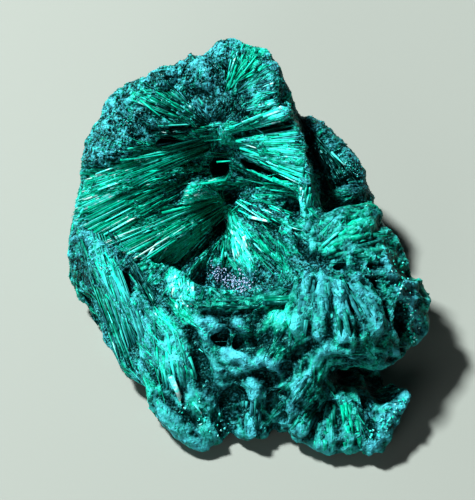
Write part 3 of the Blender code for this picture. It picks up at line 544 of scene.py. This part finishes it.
def photo_camera():
    camera = linked("camera", bpy.data.cameras.new("camera"))
    camera.location = (VIEW_TARGET + VIEW_BACK * VIEW_DISTANCE) * MM
    look_from(camera, VIEW_BACK)
    camera.data.sensor_width = SENSOR
    camera.data.lens = SENSOR * VIEW_DISTANCE / (PHOTO_HEIGHT / PIXELS_PER_MM)
    camera.data.clip_start = MM
    bpy.context.scene.camera = camera


def seen_from(pixel):
    """The camera's place in millimetres, and the direction in which it sees this pixel of the photograph."""
    eye = VIEW_TARGET + VIEW_BACK * VIEW_DISTANCE
    across = (pixel[0] - PHOTO_WIDTH / 2.0) / PIXELS_PER_MM
    rise = (PHOTO_HEIGHT / 2.0 - pixel[1]) / PIXELS_PER_MM
    aim = VIEW_TARGET + Vector((across, 0.0, 0.0)) + VIEW_UP * rise
    return eye, (aim - eye).normalized()


def under_pixel(stone, pixel):
    """The point of the stone that the photograph shows at this pixel, or None beside the stone."""
    eye, sight = seen_from(pixel)
    hit, place, _, _ = stone.ray_cast(eye * MM, sight)
    return place / MM if hit else None


def shown(name, mesh, material):
    """A piece of the stone, in the same place as the solid that it dresses."""
    piece = linked(name, mesh)
    mesh.materials.append(material)
    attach(piece, "root")
    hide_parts("malachite")
    return piece


def vectors_of(mesh, field):
    flat = np.empty(len(mesh.vertices) * 3, np.float32)
    mesh.vertices.foreach_get(field, flat)
    return flat.reshape(-1, 3).astype(float)


def places_of(mesh):
    return vectors_of(mesh, "co") / MM


def keep(mesh, name, values):
    """Stores a number or a vector at each vertex, for the materials to read."""
    values = np.asarray(values, np.float32)
    kind, field = ("FLOAT", "value") if values.ndim == 1 else ("FLOAT_VECTOR", "vector")
    mesh.attributes.new(name, kind, "POINT").data.foreach_set(field, values.ravel())


def keep_finish(mesh, tint, bloom, fine, grain):
    keep(mesh, "tint", np.clip(tint, 0.0, 1.0))
    keep(mesh, "bloom", np.clip(bloom, 0.0, 1.0))
    keep(mesh, "fine", fine)
    keep(mesh, "grain", grain)


def unit(vectors):
    return vectors / np.maximum(np.linalg.norm(vectors, axis=1, keepdims=True), 1e-9)


def along_line(points, start, end):
    """How far along the line each point lies, from 0 to 1, and its distance from the line."""
    line = end - start
    t = np.clip((points - start) @ line / max(line @ line, 1e-9), 0.0, 1.0)
    return t, np.linalg.norm(points - (start + t[:, None] * line), axis=1)


def needles_at(points):
    """The spray that fills each point, the direction there, and a pattern place that keeps to a needle."""
    nearest = np.full(len(points), 1e9)
    spray = np.zeros(len(points), int)
    reach = np.zeros_like(points)
    length = np.ones(len(points))
    for number, (start, end, half_width, half_thickness) in enumerate(SPRAYS.values()):
        start = np.array(start) + np.array(STONE_SHIFT)
        end = np.array(end) + np.array(STONE_SHIFT)
        t, distance = along_line(points, start, end)
        score = distance / ((half_width + half_thickness) / 2.0 * (SPRAY_NARROW + (1.0 - SPRAY_NARROW) * t))
        closer = score < nearest
        nearest[closer] = score[closer]
        spray[closer] = number
        apex = start - (end - start) * APEX_BEHIND
        reach[closer] = points[closer] - apex
        length[closer] = np.linalg.norm(end - apex)
    direction = unit(reach)
    return spray, direction, direction * length[:, None] + spray[:, None] * np.array(SPRAY_STEP)


def family_values(spray, column):
    """One column of FAMILIES for each point, by the family of its spray."""
    return np.array([FAMILIES[name.split("_")[0]][column] for name in SPRAYS])[spray]


def noise_at(places, pitch, seed):
    """Smooth noise from -1 to 1, one value for each place."""
    step = Vector([seed * share for share in NOISE_STEP])
    return np.array([noise.noise(Vector(place) + step) for place in places / pitch])


def ridges_at(places, pitch, seed, crest, fall):
    """Noise as sharp ridges between round valleys."""
    return crest - np.abs(noise_at(places, pitch, seed)) * fall


def fields_at(points, marks):
    """Tint, bloom and velvet at each point."""
    fields = [value + strength * noise_at(points, pitch, seed) for value, strength, pitch, seed in PLAIN]
    for start, end, radius, *wanted, _ in marks:
        _, distance = along_line(points, start, end)
        share = np.exp(-((distance / radius) ** 2))
        for field, value in zip(fields, wanted):
            field += (value - field) * share
    tint, bloom, velvet = fields
    velvet = np.clip(velvet, 0.0, 1.0)
    blotches = noise_at(points, BLOTCH_PITCH, BLOTCH_SEED)
    specks = noise_at(points, SPECK_PITCH, SPECK_SEED)
    tint = tint + velvet * (VELVET_TINT[0] * blotches + VELVET_TINT[1] * specks)
    bloom = bloom + velvet * (VELVET_BLOOM[0] * blotches + VELVET_BLOOM[1] * specks)
    return tint, bloom, velvet


def placed_marks(stone):
    placed = []
    for start, end, *values in MARKS.values():
        first, last = under_pixel(stone, start), under_pixel(stone, end)
        if first is not None and last is not None:
            placed.append((np.array(first), np.array(last), *values))
    return placed


def added_balls():
    """Middle and radius of the pits' floors and of the foot's knobs."""
    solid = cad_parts["malachite"]
    balls = []
    for pit, beside, depth, radius in PIT_FLOORS.values():
        eye, sight = seen_from(pit)
        near = under_pixel(solid, beside)
        balls.append((eye + sight * ((near - eye).length + depth), radius))
    for pixel, height, radius in FOOT_KNOBS.values():
        eye, sight = seen_from(pixel)
        balls.append((eye + sight * ((height - eye.z) / sight.z), radius))
    return balls


def fine_skin():
    """The solid's mesh, with the pits' floors and the foot's knobs, merged and remeshed finely."""
    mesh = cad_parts["malachite"].data.copy()
    bm = bmesh.new()
    bm.from_mesh(mesh)
    bmesh.ops.remove_doubles(bm, verts=bm.verts, dist=MERGE * MM)
    for centre, radius in added_balls():
        place = Matrix.Translation(centre * MM)
        bmesh.ops.create_icosphere(bm, subdivisions=3, radius=radius * MM, matrix=place)
    bm.to_mesh(mesh)
    bm.free()
    mesh.materials.clear()
    draft = linked("skin_draft", mesh)
    modifier = draft.modifiers.new("Fine", "REMESH")
    modifier.mode = "VOXEL"
    modifier.voxel_size = SKIN_VOXEL * MM
    skin = bpy.data.meshes.new_from_object(draft.evaluated_get(bpy.context.evaluated_depsgraph_get()))
    skin.name = "skin"
    bpy.data.objects.remove(draft)
    bpy.data.meshes.remove(mesh)
    return skin


def ridge_skin(mesh, marks):
    """Moves the skin in and out by bundles, strands, lumps, grit and marks. The foot stays flat."""
    points = places_of(mesh)
    spray, _, pattern = needles_at(points)
    bundles = ridges_at(pattern / family_values(spray, BUNDLE_PITCH)[:, None], 1.0, BUNDLE_SEED, *RIDGE)
    strands = ridges_at(pattern, STRAND_PITCH, STRAND_SEED, *RIDGE)
    lumps = ridges_at(points, LUMP_PITCH, LUMP_SEED, *LUMP_RIDGE)
    lumps *= LUMP_MEAN + LUMP_SWING * noise_at(points, LUMP_PITCH * LUMP_FIELD, FIELD_SEED)
    height = family_values(spray, BUNDLE_DEPTH) * bundles + family_values(spray, LUMP_DEPTH) * lumps
    height = height + STRAND_DEPTH * strands + GRIT_DEPTH * noise_at(points, GRIT_PITCH, GRIT_SEED)
    for start, end, radius, *_, lift in marks:
        if lift:
            _, distance = along_line(points, start, end)
            height += lift * np.exp(-((distance / radius) ** 2))
    height = (height - SKIN_INSET) * np.clip(points[:, 2] / FOOT_BAND - FOOT_START, 0.0, 1.0)
    moved = points + vectors_of(mesh, "normal") * height[:, None]
    moved[:, 2] = np.maximum(moved[:, 2], 0.0)
    mesh.vertices.foreach_set("co", (moved * MM).astype(np.float32).ravel())
    mesh.update()


def edges_of(mesh):
    """From -1 in hollows to 1 on ridges: how far each point stands out from the smoothed skin."""
    points = places_of(mesh)
    flat = np.empty(len(mesh.edges) * 2, np.int32)
    mesh.edges.foreach_get("vertices", flat)
    first, last = flat.reshape(-1, 2).T
    ends = np.concatenate([first, last])
    others = np.concatenate([last, first])
    count = np.bincount(ends, minlength=len(points))
    smooth = points.copy()
    for _ in range(EDGE_ROUNDS):
        for axis in range(3):
            near = np.bincount(ends, weights=smooth[others, axis], minlength=len(points)) / count
            smooth[:, axis] = (1.0 - EDGE_MIX) * smooth[:, axis] + EDGE_MIX * near
    proud = np.einsum("ij,ij->i", points - smooth, vectors_of(mesh, "normal"))
    return np.clip(proud / EDGE_FULL, -1.0, 1.0)


def hollow_shade_and_ridge_bloom(tint, bloom, edge):
    """Painted shade darkens the hollows; the ridges get a lighter tint and more bloom, and the hollows less
    bloom.
    """
    hollow = np.minimum(edge, 0.0)
    ridge_bloom = (RIDGE_BLOOM + bloom) * RIDGE_BLOOM_SCALE * np.maximum(edge - RIDGE_BLOOM_FROM, 0.0)
    tint = tint + RIDGE_TINT * np.maximum(edge, 0.0) + HOLLOW_PAINTED_SHADE * hollow
    return tint, bloom + ridge_bloom + HOLLOW_BLOOM * hollow


def strand_shade(pattern):
    """Light and dark strands, the same on the skin and on the needles that grow there: painted light and
    shade of single needles, mixed with tone that differs at random.
    """
    pairs = zip(SHADE_PITCHES, SHADE_SEEDS)
    broad, narrow = (SHADE * noise_at(pattern, pitch, seed) for pitch, seed in pairs)
    return broad + narrow


def dress_skin(mesh, marks, edge):
    points = places_of(mesh)
    spray, _, pattern = needles_at(points)
    tint, bloom, velvet = fields_at(points, marks)
    fine = family_values(spray, GRAIN) * (1.0 + VELVET_GRAIN * velvet)
    tint, bloom = hollow_shade_and_ridge_bloom(tint + fine * strand_shade(pattern), bloom, edge)
    # The skin is set a little darker than its needles: painted shade in the gaps between them
    keep_finish(mesh, tint - SKIN_GAP_SHADE, bloom, fine, pattern)


def scattered(mesh, count, rng, edge):
    """Points spread over the mesh by area, the surface's normals there, and the edge value there."""
    mesh.calc_loop_triangles()
    corners = np.empty(len(mesh.loop_triangles) * 3, np.int32)
    mesh.loop_triangles.foreach_get("vertices", corners)
    corners = corners.reshape(-1, 3)
    places = places_of(mesh)[corners]
    area = np.linalg.norm(np.cross(places[:, 1] - places[:, 0], places[:, 2] - places[:, 0]), axis=1)
    area[places[:, :, 2].max(axis=1) < FOOT_BAND] = 0.0
    chosen = rng.choice(len(area), count, p=area / area.sum())
    first, second = rng.random(count), rng.random(count)
    over = first + second > 1.0
    first[over], second[over] = 1.0 - first[over], 1.0 - second[over]
    corner, next_corner, last_corner = places[chosen].transpose(1, 0, 2)
    points = corner + (next_corner - corner) * first[:, None] + (last_corner - corner) * second[:, None]
    normals = unit(vectors_of(mesh, "normal")[corners[chosen]].mean(axis=1))
    return points, normals, edge[corners[chosen, 0]]


def bar_shape(sides, taper):
    """A tapered bar a unit long along Z, with a slanting broken end."""
    bm = bmesh.new()
    bmesh.ops.create_cone(bm, cap_ends=True, segments=sides, radius1=0.5, radius2=0.5 * taper, depth=1.0)
    bmesh.ops.translate(bm, vec=(0.0, 0.0, 0.5), verts=bm.verts)
    for vertex in bm.verts:
        if vertex.co.z > 0.5:
            vertex.co.z += vertex.co.x * END_SLANT
    bmesh.ops.triangulate(bm, faces=bm.faces)
    bmesh.ops.recalc_face_normals(bm, faces=bm.faces)
    bm.verts.index_update()
    vertices = np.array([vertex.co for vertex in bm.verts])
    faces = np.array([[vertex.index for vertex in face.verts] for face in bm.faces])
    bm.free()
    return vertices, faces


def picked(bars, which):
    return {key: values[which] for key, values in bars.items()}


def joined_bars(name, shape, bars, material):
    """Copies of a bar as one mesh, each with its root, axis, side direction, and width, thickness and length.

    A bar that would reach under the floor is left out.
    """
    vertices, faces = shape
    turns = bars["sides"], np.cross(bars["axes"], bars["sides"]), bars["axes"]
    sizes = bars["sizes"][:, None, :, None]
    places = bars["roots"][:, None, :]
    for axis, turn in enumerate(turns):
        places = places + vertices[None, :, axis, None] * sizes[:, :, axis] * turn[:, None, :]
    above = places[:, :, 2].min(axis=1) > 0.0
    places, bars = places[above], picked(bars, above)
    count, each = len(places), len(vertices)
    corners = (faces[None] + (np.arange(count) * each)[:, None, None]).astype(np.int32).ravel()
    mesh = bpy.data.meshes.new(name)
    mesh.vertices.add(count * each)
    mesh.vertices.foreach_set("co", (places * MM).astype(np.float32).ravel())
    mesh.loops.add(len(corners))
    mesh.loops.foreach_set("vertex_index", corners)
    mesh.polygons.add(count * len(faces))
    mesh.polygons.foreach_set("loop_start", np.arange(0, len(corners), 3, dtype=np.int32))
    mesh.update(calc_edges=True)
    mesh.validate()
    height = np.tile(np.clip(vertices[:, 2], 0.0, 1.0), count)
    tint = np.repeat(bars["tint"], each) - ROOT_DARKER * (1.0 - height)
    bloom = np.repeat(bars["bloom"], each) * (ROOT_BLOOM + (1.0 - ROOT_BLOOM) * height)
    grain = vertices[None] * bars["sizes"][:, None, :] * GRAIN_ALONG + bars["roots"][:, None, :] * GRAIN_APART
    keep_finish(mesh, tint, bloom, np.ones(count * each), grain.reshape(-1, 3))
    return shown(name, mesh, material)


def height_over(tree, places):
    """How far each place stands over the skin, in millimetres; negative inside the stone."""
    heights = np.zeros(len(places))
    for number, place in enumerate(places):
        near, normal, _, _ = tree.find_nearest(Vector(place) * MM)
        heights[number] = (Vector(place) - near / MM).dot(normal)
    return heights


def laid_down(tree, points, axes, length, most):
    """The lengths, cut back where a needle would stand off the stone like a hair."""
    length = length.copy()
    for share in SHORTENING:
        loose = height_over(tree, points + axes * length[:, None] * (1.0 - BACK_SHARE)) > most
        loose |= height_over(tree, points - axes * length[:, None] * BACK_SHARE) > most
        length[loose] *= share
    return length


def scattered_bars(mesh, marks, edge, count, rng):
    """What every bar over the skin starts from: its place, directions and finish."""
    points, normals, edge = scattered(mesh, count, rng, edge)
    spray, direction, pattern = needles_at(points)
    tint, bloom, velvet = fields_at(points, marks)
    tint, bloom = hollow_shade_and_ridge_bloom(tint, bloom, edge)
    facing = np.einsum("ij,ij->i", direction, normals)
    return {
        "points": points,
        "normals": normals,
        "spray": spray,
        "direction": direction,
        "facing": facing,
        "flat": unit(direction - normals * facing[:, None]),
        "tint": tint,
        "bloom": bloom,
        "velvet": velvet,
        "shade": strand_shade(pattern),
    }


def set_bars(bars, axes, roll, width, thickness, length, back, sunk):
    """Gives the bars directions, sizes and roots: this far back, and sunk by a share of the thickness."""
    bars["axes"] = axes
    bars["sides"] = turned(unit(np.cross(axes, bars["normals"])), axes, roll)
    bars["roots"] = bars["points"] - axes * back[:, None] - bars["normals"] * (sunk * thickness)[:, None]
    bars["sizes"] = np.stack([width, thickness, length], axis=1)


def within_box(bars):
    """True where a bar stays inside the stone's box, with a small margin, and over the foot."""
    tips = bars["roots"] + bars["axes"] * bars["sizes"][:, 2:]
    low, high = np.array(cad_low) / MM - BOX_MARGIN, np.array(cad_high) / MM + BOX_MARGIN
    low[2] = LOW_TIP
    return ((tips > low) & (tips < high)).all(axis=1) & (bars["roots"][:, 2] > LOW_ROOT)


def by_family(kind, bars, kept, shape, material):
    """Joins the bars as one mesh for each family of sprays, or more where there are many."""
    families = np.array([name.split("_")[0] for name in SPRAYS])[bars["spray"]]
    for family in FAMILIES:
        own = np.flatnonzero(kept & (families == family))
        for part, start in enumerate(range(0, len(own), MOST_PER_PIECE)):
            chosen = picked(bars, own[start : start + MOST_PER_PIECE])
            joined_bars(f"{family}_{kind}_{part + 1}", shape, chosen, material)


def turned(sides, axes, roll):
    return sides * np.cos(roll)[:, None] + np.cross(axes, sides) * np.sin(roll)[:, None]


def leaning(bars, lift, spread, count, rng):
    """Directions along the skin and the needles, a little lifted and a little scattered."""
    lifted = bars["flat"] + bars["normals"] * rng.uniform(0.0, lift, (count, 1))
    return unit(lifted + rng.normal(0.0, spread, (count, 3)))


def grow_needles(mesh, marks, edge, tree, material):
    """The needles over the skin: long ones where their sides show, short ones where their ends do."""
    rng = np.random.default_rng(SEED)
    bars = scattered_bars(mesh, marks, edge, NEEDLES, rng)
    end_on = (np.abs(bars["facing"]) > END_ON) | (rng.random(NEEDLES) < bars["velvet"])
    lying = leaning(bars, LYING_LIFT, LYING_SPREAD, NEEDLES, rng)
    outward = np.where(bars["facing"] < 0.0, -STANDING_OUT, STANDING_OUT)[:, None]
    standing = bars["direction"] * outward + bars["normals"] * STANDING_OUT
    standing = unit(standing + rng.normal(0.0, STANDING_SPREAD, (NEEDLES, 3)))
    axes = np.where(end_on[:, None], standing, lying)
    roll = rng.normal(0.0, NEEDLE_ROLL, NEEDLES)
    length = rng.gamma(*LYING_LENGTH, NEEDLES).clip(*LYING_RANGE)
    stub_length = rng.uniform(*STUB_LENGTH, NEEDLES)
    length = np.where(end_on, stub_length, laid_down(tree, bars["points"], axes, length, MOST_LIFT))
    width = np.where(end_on, rng.uniform(*STUB_WIDTH, NEEDLES), rng.uniform(*LYING_WIDTH, NEEDLES))
    thickness = width * rng.uniform(*NEEDLE_THICK, NEEDLES)
    back = np.where(end_on, STUB_SUNK, BACK_SHARE) * length
    set_bars(bars, axes, roll, width, thickness, length, back, NEEDLE_SUNK)
    kept = within_box(bars)
    share = (KEPT_DARK + KEPT_BY_TINT * bars["tint"]) * family_values(bars["spray"], NEEDLE_SHARE)
    kept &= rng.random(NEEDLES) < share
    side_tint = bars["tint"] + bars["shade"] + rng.normal(0.0, SIDE_SPREAD, NEEDLES)
    end_tint = bars["tint"] + END_SPREAD * (rng.random(NEEDLES) - END_MIDDLE)
    bars["tint"] = np.where(end_on, end_tint, side_tint)
    # Painted glints: a few needles get a much lighter tint
    bars["tint"][rng.random(NEEDLES) < GLINT_SHARE] += GLINT
    bars["bloom"] *= np.where(end_on, STUB_BLOOM * rng.random(NEEDLES), LYING_BLOOM * rng.random(NEEDLES))
    by_family("needles", bars, kept, bar_shape(NEEDLE_SIDES, NEEDLE_TAPER), material)


def grow_shards(mesh, marks, edge, tree, material):
    """Thick splinters of needles grown together, half sunk in the skin along the needles."""
    rng = np.random.default_rng(SEED + 1)
    bars = scattered_bars(mesh, marks, edge, SHARDS, rng)
    kept = rng.random(SHARDS) > bars["velvet"] * SHARD_VELVET
    kept &= rng.random(SHARDS) < family_values(bars["spray"], SHARD_SHARE)
    axes = leaning(bars, SHARD_LIFT, SHARD_SPREAD, SHARDS, rng)
    roll = rng.normal(0.0, SHARD_ROLL, SHARDS)
    length = rng.gamma(*SHARD_LENGTH, SHARDS).clip(*SHARD_RANGE)
    length = laid_down(tree, bars["points"], axes, length, MOST_SHARD_LIFT)
    width = rng.uniform(*SHARD_WIDTH, SHARDS)
    thickness = width * rng.uniform(*SHARD_THICK, SHARDS)
    set_bars(bars, axes, roll, width, thickness, length, BACK_SHARE * length, SHARD_SUNK)
    kept &= (length > SHARD_LEAST) & within_box(bars)
    bars["tint"] = bars["tint"] + SHARD_SHADE * bars["shade"] + rng.normal(*SHARD_TINT, SHARDS)
    bars["bloom"] = bars["bloom"] * rng.uniform(0.0, SHARD_BLOOM, SHARDS)
    by_family("shards", bars, kept, bar_shape(SHARD_SIDES, SHARD_TAPER), material)


def on_stone(stone, pixels):
    """The stone's points under these pixels, and which pixels it is seen at."""
    hits = [under_pixel(stone, pixel) for pixel in pixels]
    seen = np.array([hit is not None for hit in hits])
    return np.array([hit if hit is not None else (0.0, 0.0, 0.0) for hit in hits]), seen


def between(start, end, share):
    return np.array(start) + (np.array(end) - np.array(start)) * share[:, None]


def lay_fans(stone, material):
    """The needles of each spray that the photograph shows, laid on the stone from its apex outwards."""
    back = np.array(VIEW_BACK)
    for name, (start_a, start_b, end_a, end_b, count, widths, start_tint, end_tint, bloom) in FANS.items():
        rng = np.random.default_rng(SEED + len(name) + count)
        across = (np.arange(count) + rng.random(count)) / count
        rng.shuffle(across)
        first = rng.uniform(*FAN_START, count)
        last = np.minimum(first + rng.uniform(*FAN_LENGTH, count), FAN_END)
        starts, ends = between(start_a, start_b, across), between(end_a, end_b, across)
        near, near_seen = on_stone(stone, between(starts, ends, first))
        far, far_seen = on_stone(stone, between(starts, ends, last))
        length = np.linalg.norm(far - near, axis=1)
        deep = np.abs((far - near) @ back) > DEEP * np.maximum(length, 0.01)
        axes = unit(far - near)
        middle = (first + last) / 2.0
        wide = widths[1] > WIDE
        sunk, strand_tint, spread = WIDE_FINISH if wide else FINE_FINISH
        width = rng.uniform(*widths, count) * (FAN_NARROW + (1.0 - FAN_NARROW) * middle)
        pattern = np.stack([across * count / FAN_STRAND, middle * FAN_ALONG, across * 0.0], axis=1)
        shade = strand_tint * noise_at(pattern, 1.0, FAN_SEED + len(name)) + rng.normal(0.0, spread, count)
        tint = start_tint + (end_tint - start_tint) * middle + shade
        # Painted glints: some thin needles past the middle get a near-white tint
        if not wide:
            tint[(rng.random(count) < FAN_GLINT_SHARE) & (middle > 0.5)] = FAN_GLINT
        bars = {
            "roots": near + back * (sunk * width)[:, None],
            "axes": axes,
            "sides": turned(unit(np.cross(axes, back[None])), axes, rng.normal(0.0, FAN_ROLL, count)),
            "sizes": np.stack([width, width * rng.uniform(*FAN_THICK, count), length], axis=1),
            "tint": tint,
            "bloom": bloom * rng.uniform(*FAN_BLOOM, count),
        }
        chosen = picked(bars, near_seen & far_seen & ~deep & (length > FAN_LEAST))
        shape = bar_shape(SHARD_SIDES, WIDE_TAPER if wide else SHARD_TAPER)
        joined_bars(f"{name}_drawn", shape, chosen, material)


def sprinkle_crystals(stone, material, lilac):
    """The tiny crystals that glitter where the photograph shows them, as stubs half sunk in the skin."""
    for name, (start, end, spread, count, sizes, bloom) in SPARKLES.items():
        rng = np.random.default_rng(SEED + 7 * len(name) + count)
        line = between(start, end, rng.random(count))
        places, seen = on_stone(stone, line + rng.normal(0.0, spread / 2.0, (count, 2)))
        axes = unit(rng.normal(0.0, 1.0, (count, 3)) + np.array(VIEW_BACK))
        width = rng.uniform(*sizes, count)
        length = width * rng.uniform(*CRYSTAL_LENGTH, count)
        bars = {
            "roots": places - axes * (CRYSTAL_SUNK * length)[:, None],
            "axes": axes,
            "sides": unit(np.cross(axes, rng.normal(0.0, 1.0, (count, 3)))),
            "sizes": np.stack([width, width * CRYSTAL_THICK, length], axis=1),
            # Pale tints: painted glitter of the crystals' faces
            "tint": np.sqrt(rng.uniform(*CRYSTAL_TINT, count)),
            "bloom": bloom * rng.uniform(*CRYSTAL_BLOOM, count),
        }
        own = lilac if name == "druzy" else material
        joined_bars(f"{name}_crystals", bar_shape(SHARD_SIDES, SHARD_TAPER), picked(bars, seen), own)


def lay_named_needles(stone, material):
    """The single needles and strips that stand out, each from one place on the stone to another."""
    roots, lines, others = [], [], []
    for start, end, width, lift, tint, bloom in NAMED_NEEDLES.values():
        first, last = under_pixel(stone, start), under_pixel(stone, end)
        if first is None or last is None:
            continue
        deeper = (last - first).dot(VIEW_BACK)
        if abs(deeper) > DEEP * (last - first).length:
            first += VIEW_BACK * max(deeper, 0.0)
            last += VIEW_BACK * max(-deeper, 0.0)
        roots.append(np.array(first + VIEW_BACK * lift))
        lines.append(np.array(last + VIEW_BACK * lift) - roots[-1])
        others.append((width, tint, bloom))
    axes = unit(np.array(lines))
    width, tint, bloom = np.array(others).T
    bars = {
        "roots": np.array(roots),
        "axes": axes,
        "sides": unit(np.cross(axes, np.array(VIEW_BACK))),
        "sizes": np.stack([width, width * STRIP_THICK, np.linalg.norm(lines, axis=1)], axis=1),
        "tint": tint,
        "bloom": bloom,
    }
    joined_bars("bright_needles", bar_shape(SHARD_SIDES, SHARD_TAPER), bars, material)


def give(tree, node, inputs):
    """Links each input that is given as a socket, and sets the others. Gives the node's outputs."""
    for name, value in inputs.items():
        if isinstance(value, bpy.types.NodeSocket):
            tree.links.new(value, node.inputs[name])
        else:
            node.inputs[name].default_value = value
    return node.outputs


def math_node(tree, operation, *values, clamp=False):
    node = tree.nodes.new("ShaderNodeMath")
    node.operation = operation
    node.use_clamp = clamp
    return give(tree, node, dict(enumerate(values)))[0]


def blended(tree, share, first, second):
    """The first colour to the second, by share."""
    node = tree.nodes.new("ShaderNodeMix")
    node.data_type = "RGBA"
    return give(tree, node, {"Factor": share, "A": first, "B": second})["Result"]


def stored(tree, name, output="Fac"):
    """What was stored under this name at the mesh's vertices."""
    node = tree.nodes.new("ShaderNodeAttribute")
    node.attribute_name = name
    return node.outputs[output]


def centred_noise(tree, coordinate, scale, detail):
    """Noise about zero, from -0.5 to 0.5."""
    inputs = {"Vector": coordinate, "Scale": scale, "Detail": detail}
    pattern = give(tree, tree.nodes.new("ShaderNodeTexNoise"), inputs)["Fac"]
    return math_node(tree, "SUBTRACT", pattern, 0.5)


def object_place(tree):
    return tree.nodes.new("ShaderNodeTexCoord").outputs["Object"]


def colour_group():
    """Tint and bloom to the stone's colour and roughness."""
    group = bpy.data.node_groups.new("malachite colour", "ShaderNodeTree")
    group.interface.new_socket(name="Tint", in_out="INPUT", socket_type="NodeSocketFloat")
    group.interface.new_socket(name="Bloom", in_out="INPUT", socket_type="NodeSocketFloat")
    group.interface.new_socket(name="Color", in_out="OUTPUT", socket_type="NodeSocketColor")
    group.interface.new_socket(name="Roughness", in_out="OUTPUT", socket_type="NodeSocketFloat")
    given = group.nodes.new("NodeGroupInput").outputs
    greens = group.nodes.new("ShaderNodeValToRGB")
    give(group, greens, {"Fac": given["Tint"]})
    ramp = greens.color_ramp
    while len(ramp.elements) < len(GREENS):
        ramp.elements.new(0.5)
    for element, (place, colour) in zip(ramp.elements, GREENS):
        element.position = place
        element.color = (*colour, 1.0)
    strength = math_node(group, "MULTIPLY", given["Bloom"], BLOOM_STRENGTH, clamp=True)
    colour = blended(group, strength, greens.outputs["Color"], BLOOM_BLUE)
    inputs = {"Value": given["Bloom"], "To Min": SMOOTHEST, "To Max": ROUGHEST}
    rough = give(group, group.nodes.new("ShaderNodeMapRange"), inputs)["Result"]
    give(group, group.nodes.new("NodeGroupOutput"), {"Color": colour, "Roughness": rough})
    return group


def new_material(name):
    made = bpy.data.materials.new(name)
    made.use_nodes = True
    return made, made.node_tree, made.node_tree.nodes["Principled BSDF"]


def give_green(tree, shader, colours, tint, bloom):
    """The stone's colours by tint and bloom, with a silky green shine."""
    node = tree.nodes.new("ShaderNodeGroup")
    node.node_tree = colours
    green = give(tree, node, {"Tint": tint, "Bloom": bloom})
    give(tree, shader, {"Base Color": green["Color"], "Roughness": green["Roughness"]})
    give(tree, shader, {"Specular IOR Level": SILK_LEVEL, "Specular Tint": SILK_TINT})


def skin_material(colours):
    made, tree, shader = new_material("stone skin")
    fine = stored(tree, "fine")
    grain = stored(tree, "grain", "Vector")
    streaks = math_node(tree, "MULTIPLY", centred_noise(tree, grain, *STREAKS), fine)
    speckle = math_node(tree, "MULTIPLY", centred_noise(tree, object_place(tree), *SPECKLE), fine)
    tint = math_node(tree, "MULTIPLY_ADD", streaks, STREAK_TINT, stored(tree, "tint"))
    tint = math_node(tree, "MULTIPLY_ADD", speckle, SPECKLE_TINT, tint)
    bloom = math_node(tree, "MULTIPLY_ADD", speckle, SPECKLE_BLOOM, stored(tree, "bloom"))
    give_green(tree, shader, colours, tint, bloom)
    height = math_node(tree, "MULTIPLY_ADD", speckle, BUMP_SPECKLE, streaks)
    inputs = {"Strength": BUMP_STRENGTH, "Distance": BUMP_DEPTH * MM, "Height": height}
    bump = give(tree, tree.nodes.new("ShaderNodeBump"), inputs)
    give(tree, shader, {"Normal": bump["Normal"]})
    return made


def druzy_material():
    """The glittering crystals of the dark hollow in the middle, from violet-black to white-lilac: the
    white-lilac is painted sparkle.
    """
    made, tree, shader = new_material("lilac crystals")
    mottle = centred_noise(tree, object_place(tree), *LILAC_MOTTLE)
    tint = math_node(tree, "MULTIPLY_ADD", mottle, LILAC_TINT, stored(tree, "tint"))
    give(tree, shader, {"Base Color": blended(tree, tint, LILAC_DARK, LILAC_HIGHLIGHT), "Roughness": LILAC_ROUGH})
    return made


def needle_material(colours):
    made, tree, shader = new_material("silky needles")
    mottle = centred_noise(tree, object_place(tree), *MOTTLE)
    tint = math_node(tree, "MULTIPLY_ADD", mottle, MOTTLE_TINT, stored(tree, "tint"))
    bloom = math_node(tree, "MULTIPLY_ADD", mottle, MOTTLE_BLOOM, stored(tree, "bloom"))
    give_green(tree, shader, colours, tint, bloom)
    return made


def pale_floor():
    bm = bmesh.new()
    bmesh.ops.create_grid(bm, x_segments=1, y_segments=1, size=FLOOR_SIZE * MM)
    mesh = bpy.data.meshes.new("floor")
    bm.to_mesh(mesh)
    bm.free()
    made, tree, shader = new_material("pale floor")
    give(tree, shader, {"Base Color": FLOOR_COLOUR, "Roughness": FLOOR_ROUGH})
    mesh.materials.append(made)
    floor = linked("floor", mesh)


def studio():
    """Soft square lights that shine on the stone, and a faint sky."""
    for name, (towards, distance, size, power) in LIGHTS.items():
        light = bpy.data.lights.new(name, "AREA")
        light.size = size * MM
        light.energy = power
        direction = Vector(towards).normalized()
        lamp = linked(name, light)
        lamp.location = direction * distance * MM + Vector((0.0, 0.0, LIT_HEIGHT * MM))
        look_from(lamp, direction)
    scene = bpy.context.scene
    scene.world = bpy.data.worlds.new("studio")
    scene.world.use_nodes = True
    tree = scene.world.node_tree
    give(tree, tree.nodes["Background"], {"Color": SKY_COLOUR, "Strength": SKY_STRENGTH})
    scene.view_settings.view_transform = "Standard"
    scene.view_settings.look = "Medium High Contrast"


photo_camera()
colours = colour_group()
skin_finish = skin_material(colours)
skin_mesh = fine_skin()
skin = shown("skin", skin_mesh, skin_finish)
bpy.context.view_layer.update()
stone_marks = placed_marks(skin)
ridge_skin(skin_mesh, stone_marks)
bpy.context.view_layer.update()
skin_edges = edges_of(skin_mesh)
skin_tree = BVHTree.FromPolygons([v.co for v in skin_mesh.vertices], [p.vertices for p in skin_mesh.polygons])
dress_skin(skin_mesh, stone_marks, skin_edges)
needle_finish = needle_material(colours)
grow_needles(skin_mesh, stone_marks, skin_edges, skin_tree, needle_finish)
grow_shards(skin_mesh, stone_marks, skin_edges, skin_tree, skin_finish)
lay_fans(skin, needle_finish)
sprinkle_crystals(skin, needle_finish, druzy_material())
lay_named_needles(skin, needle_finish)
pale_floor()
studio()
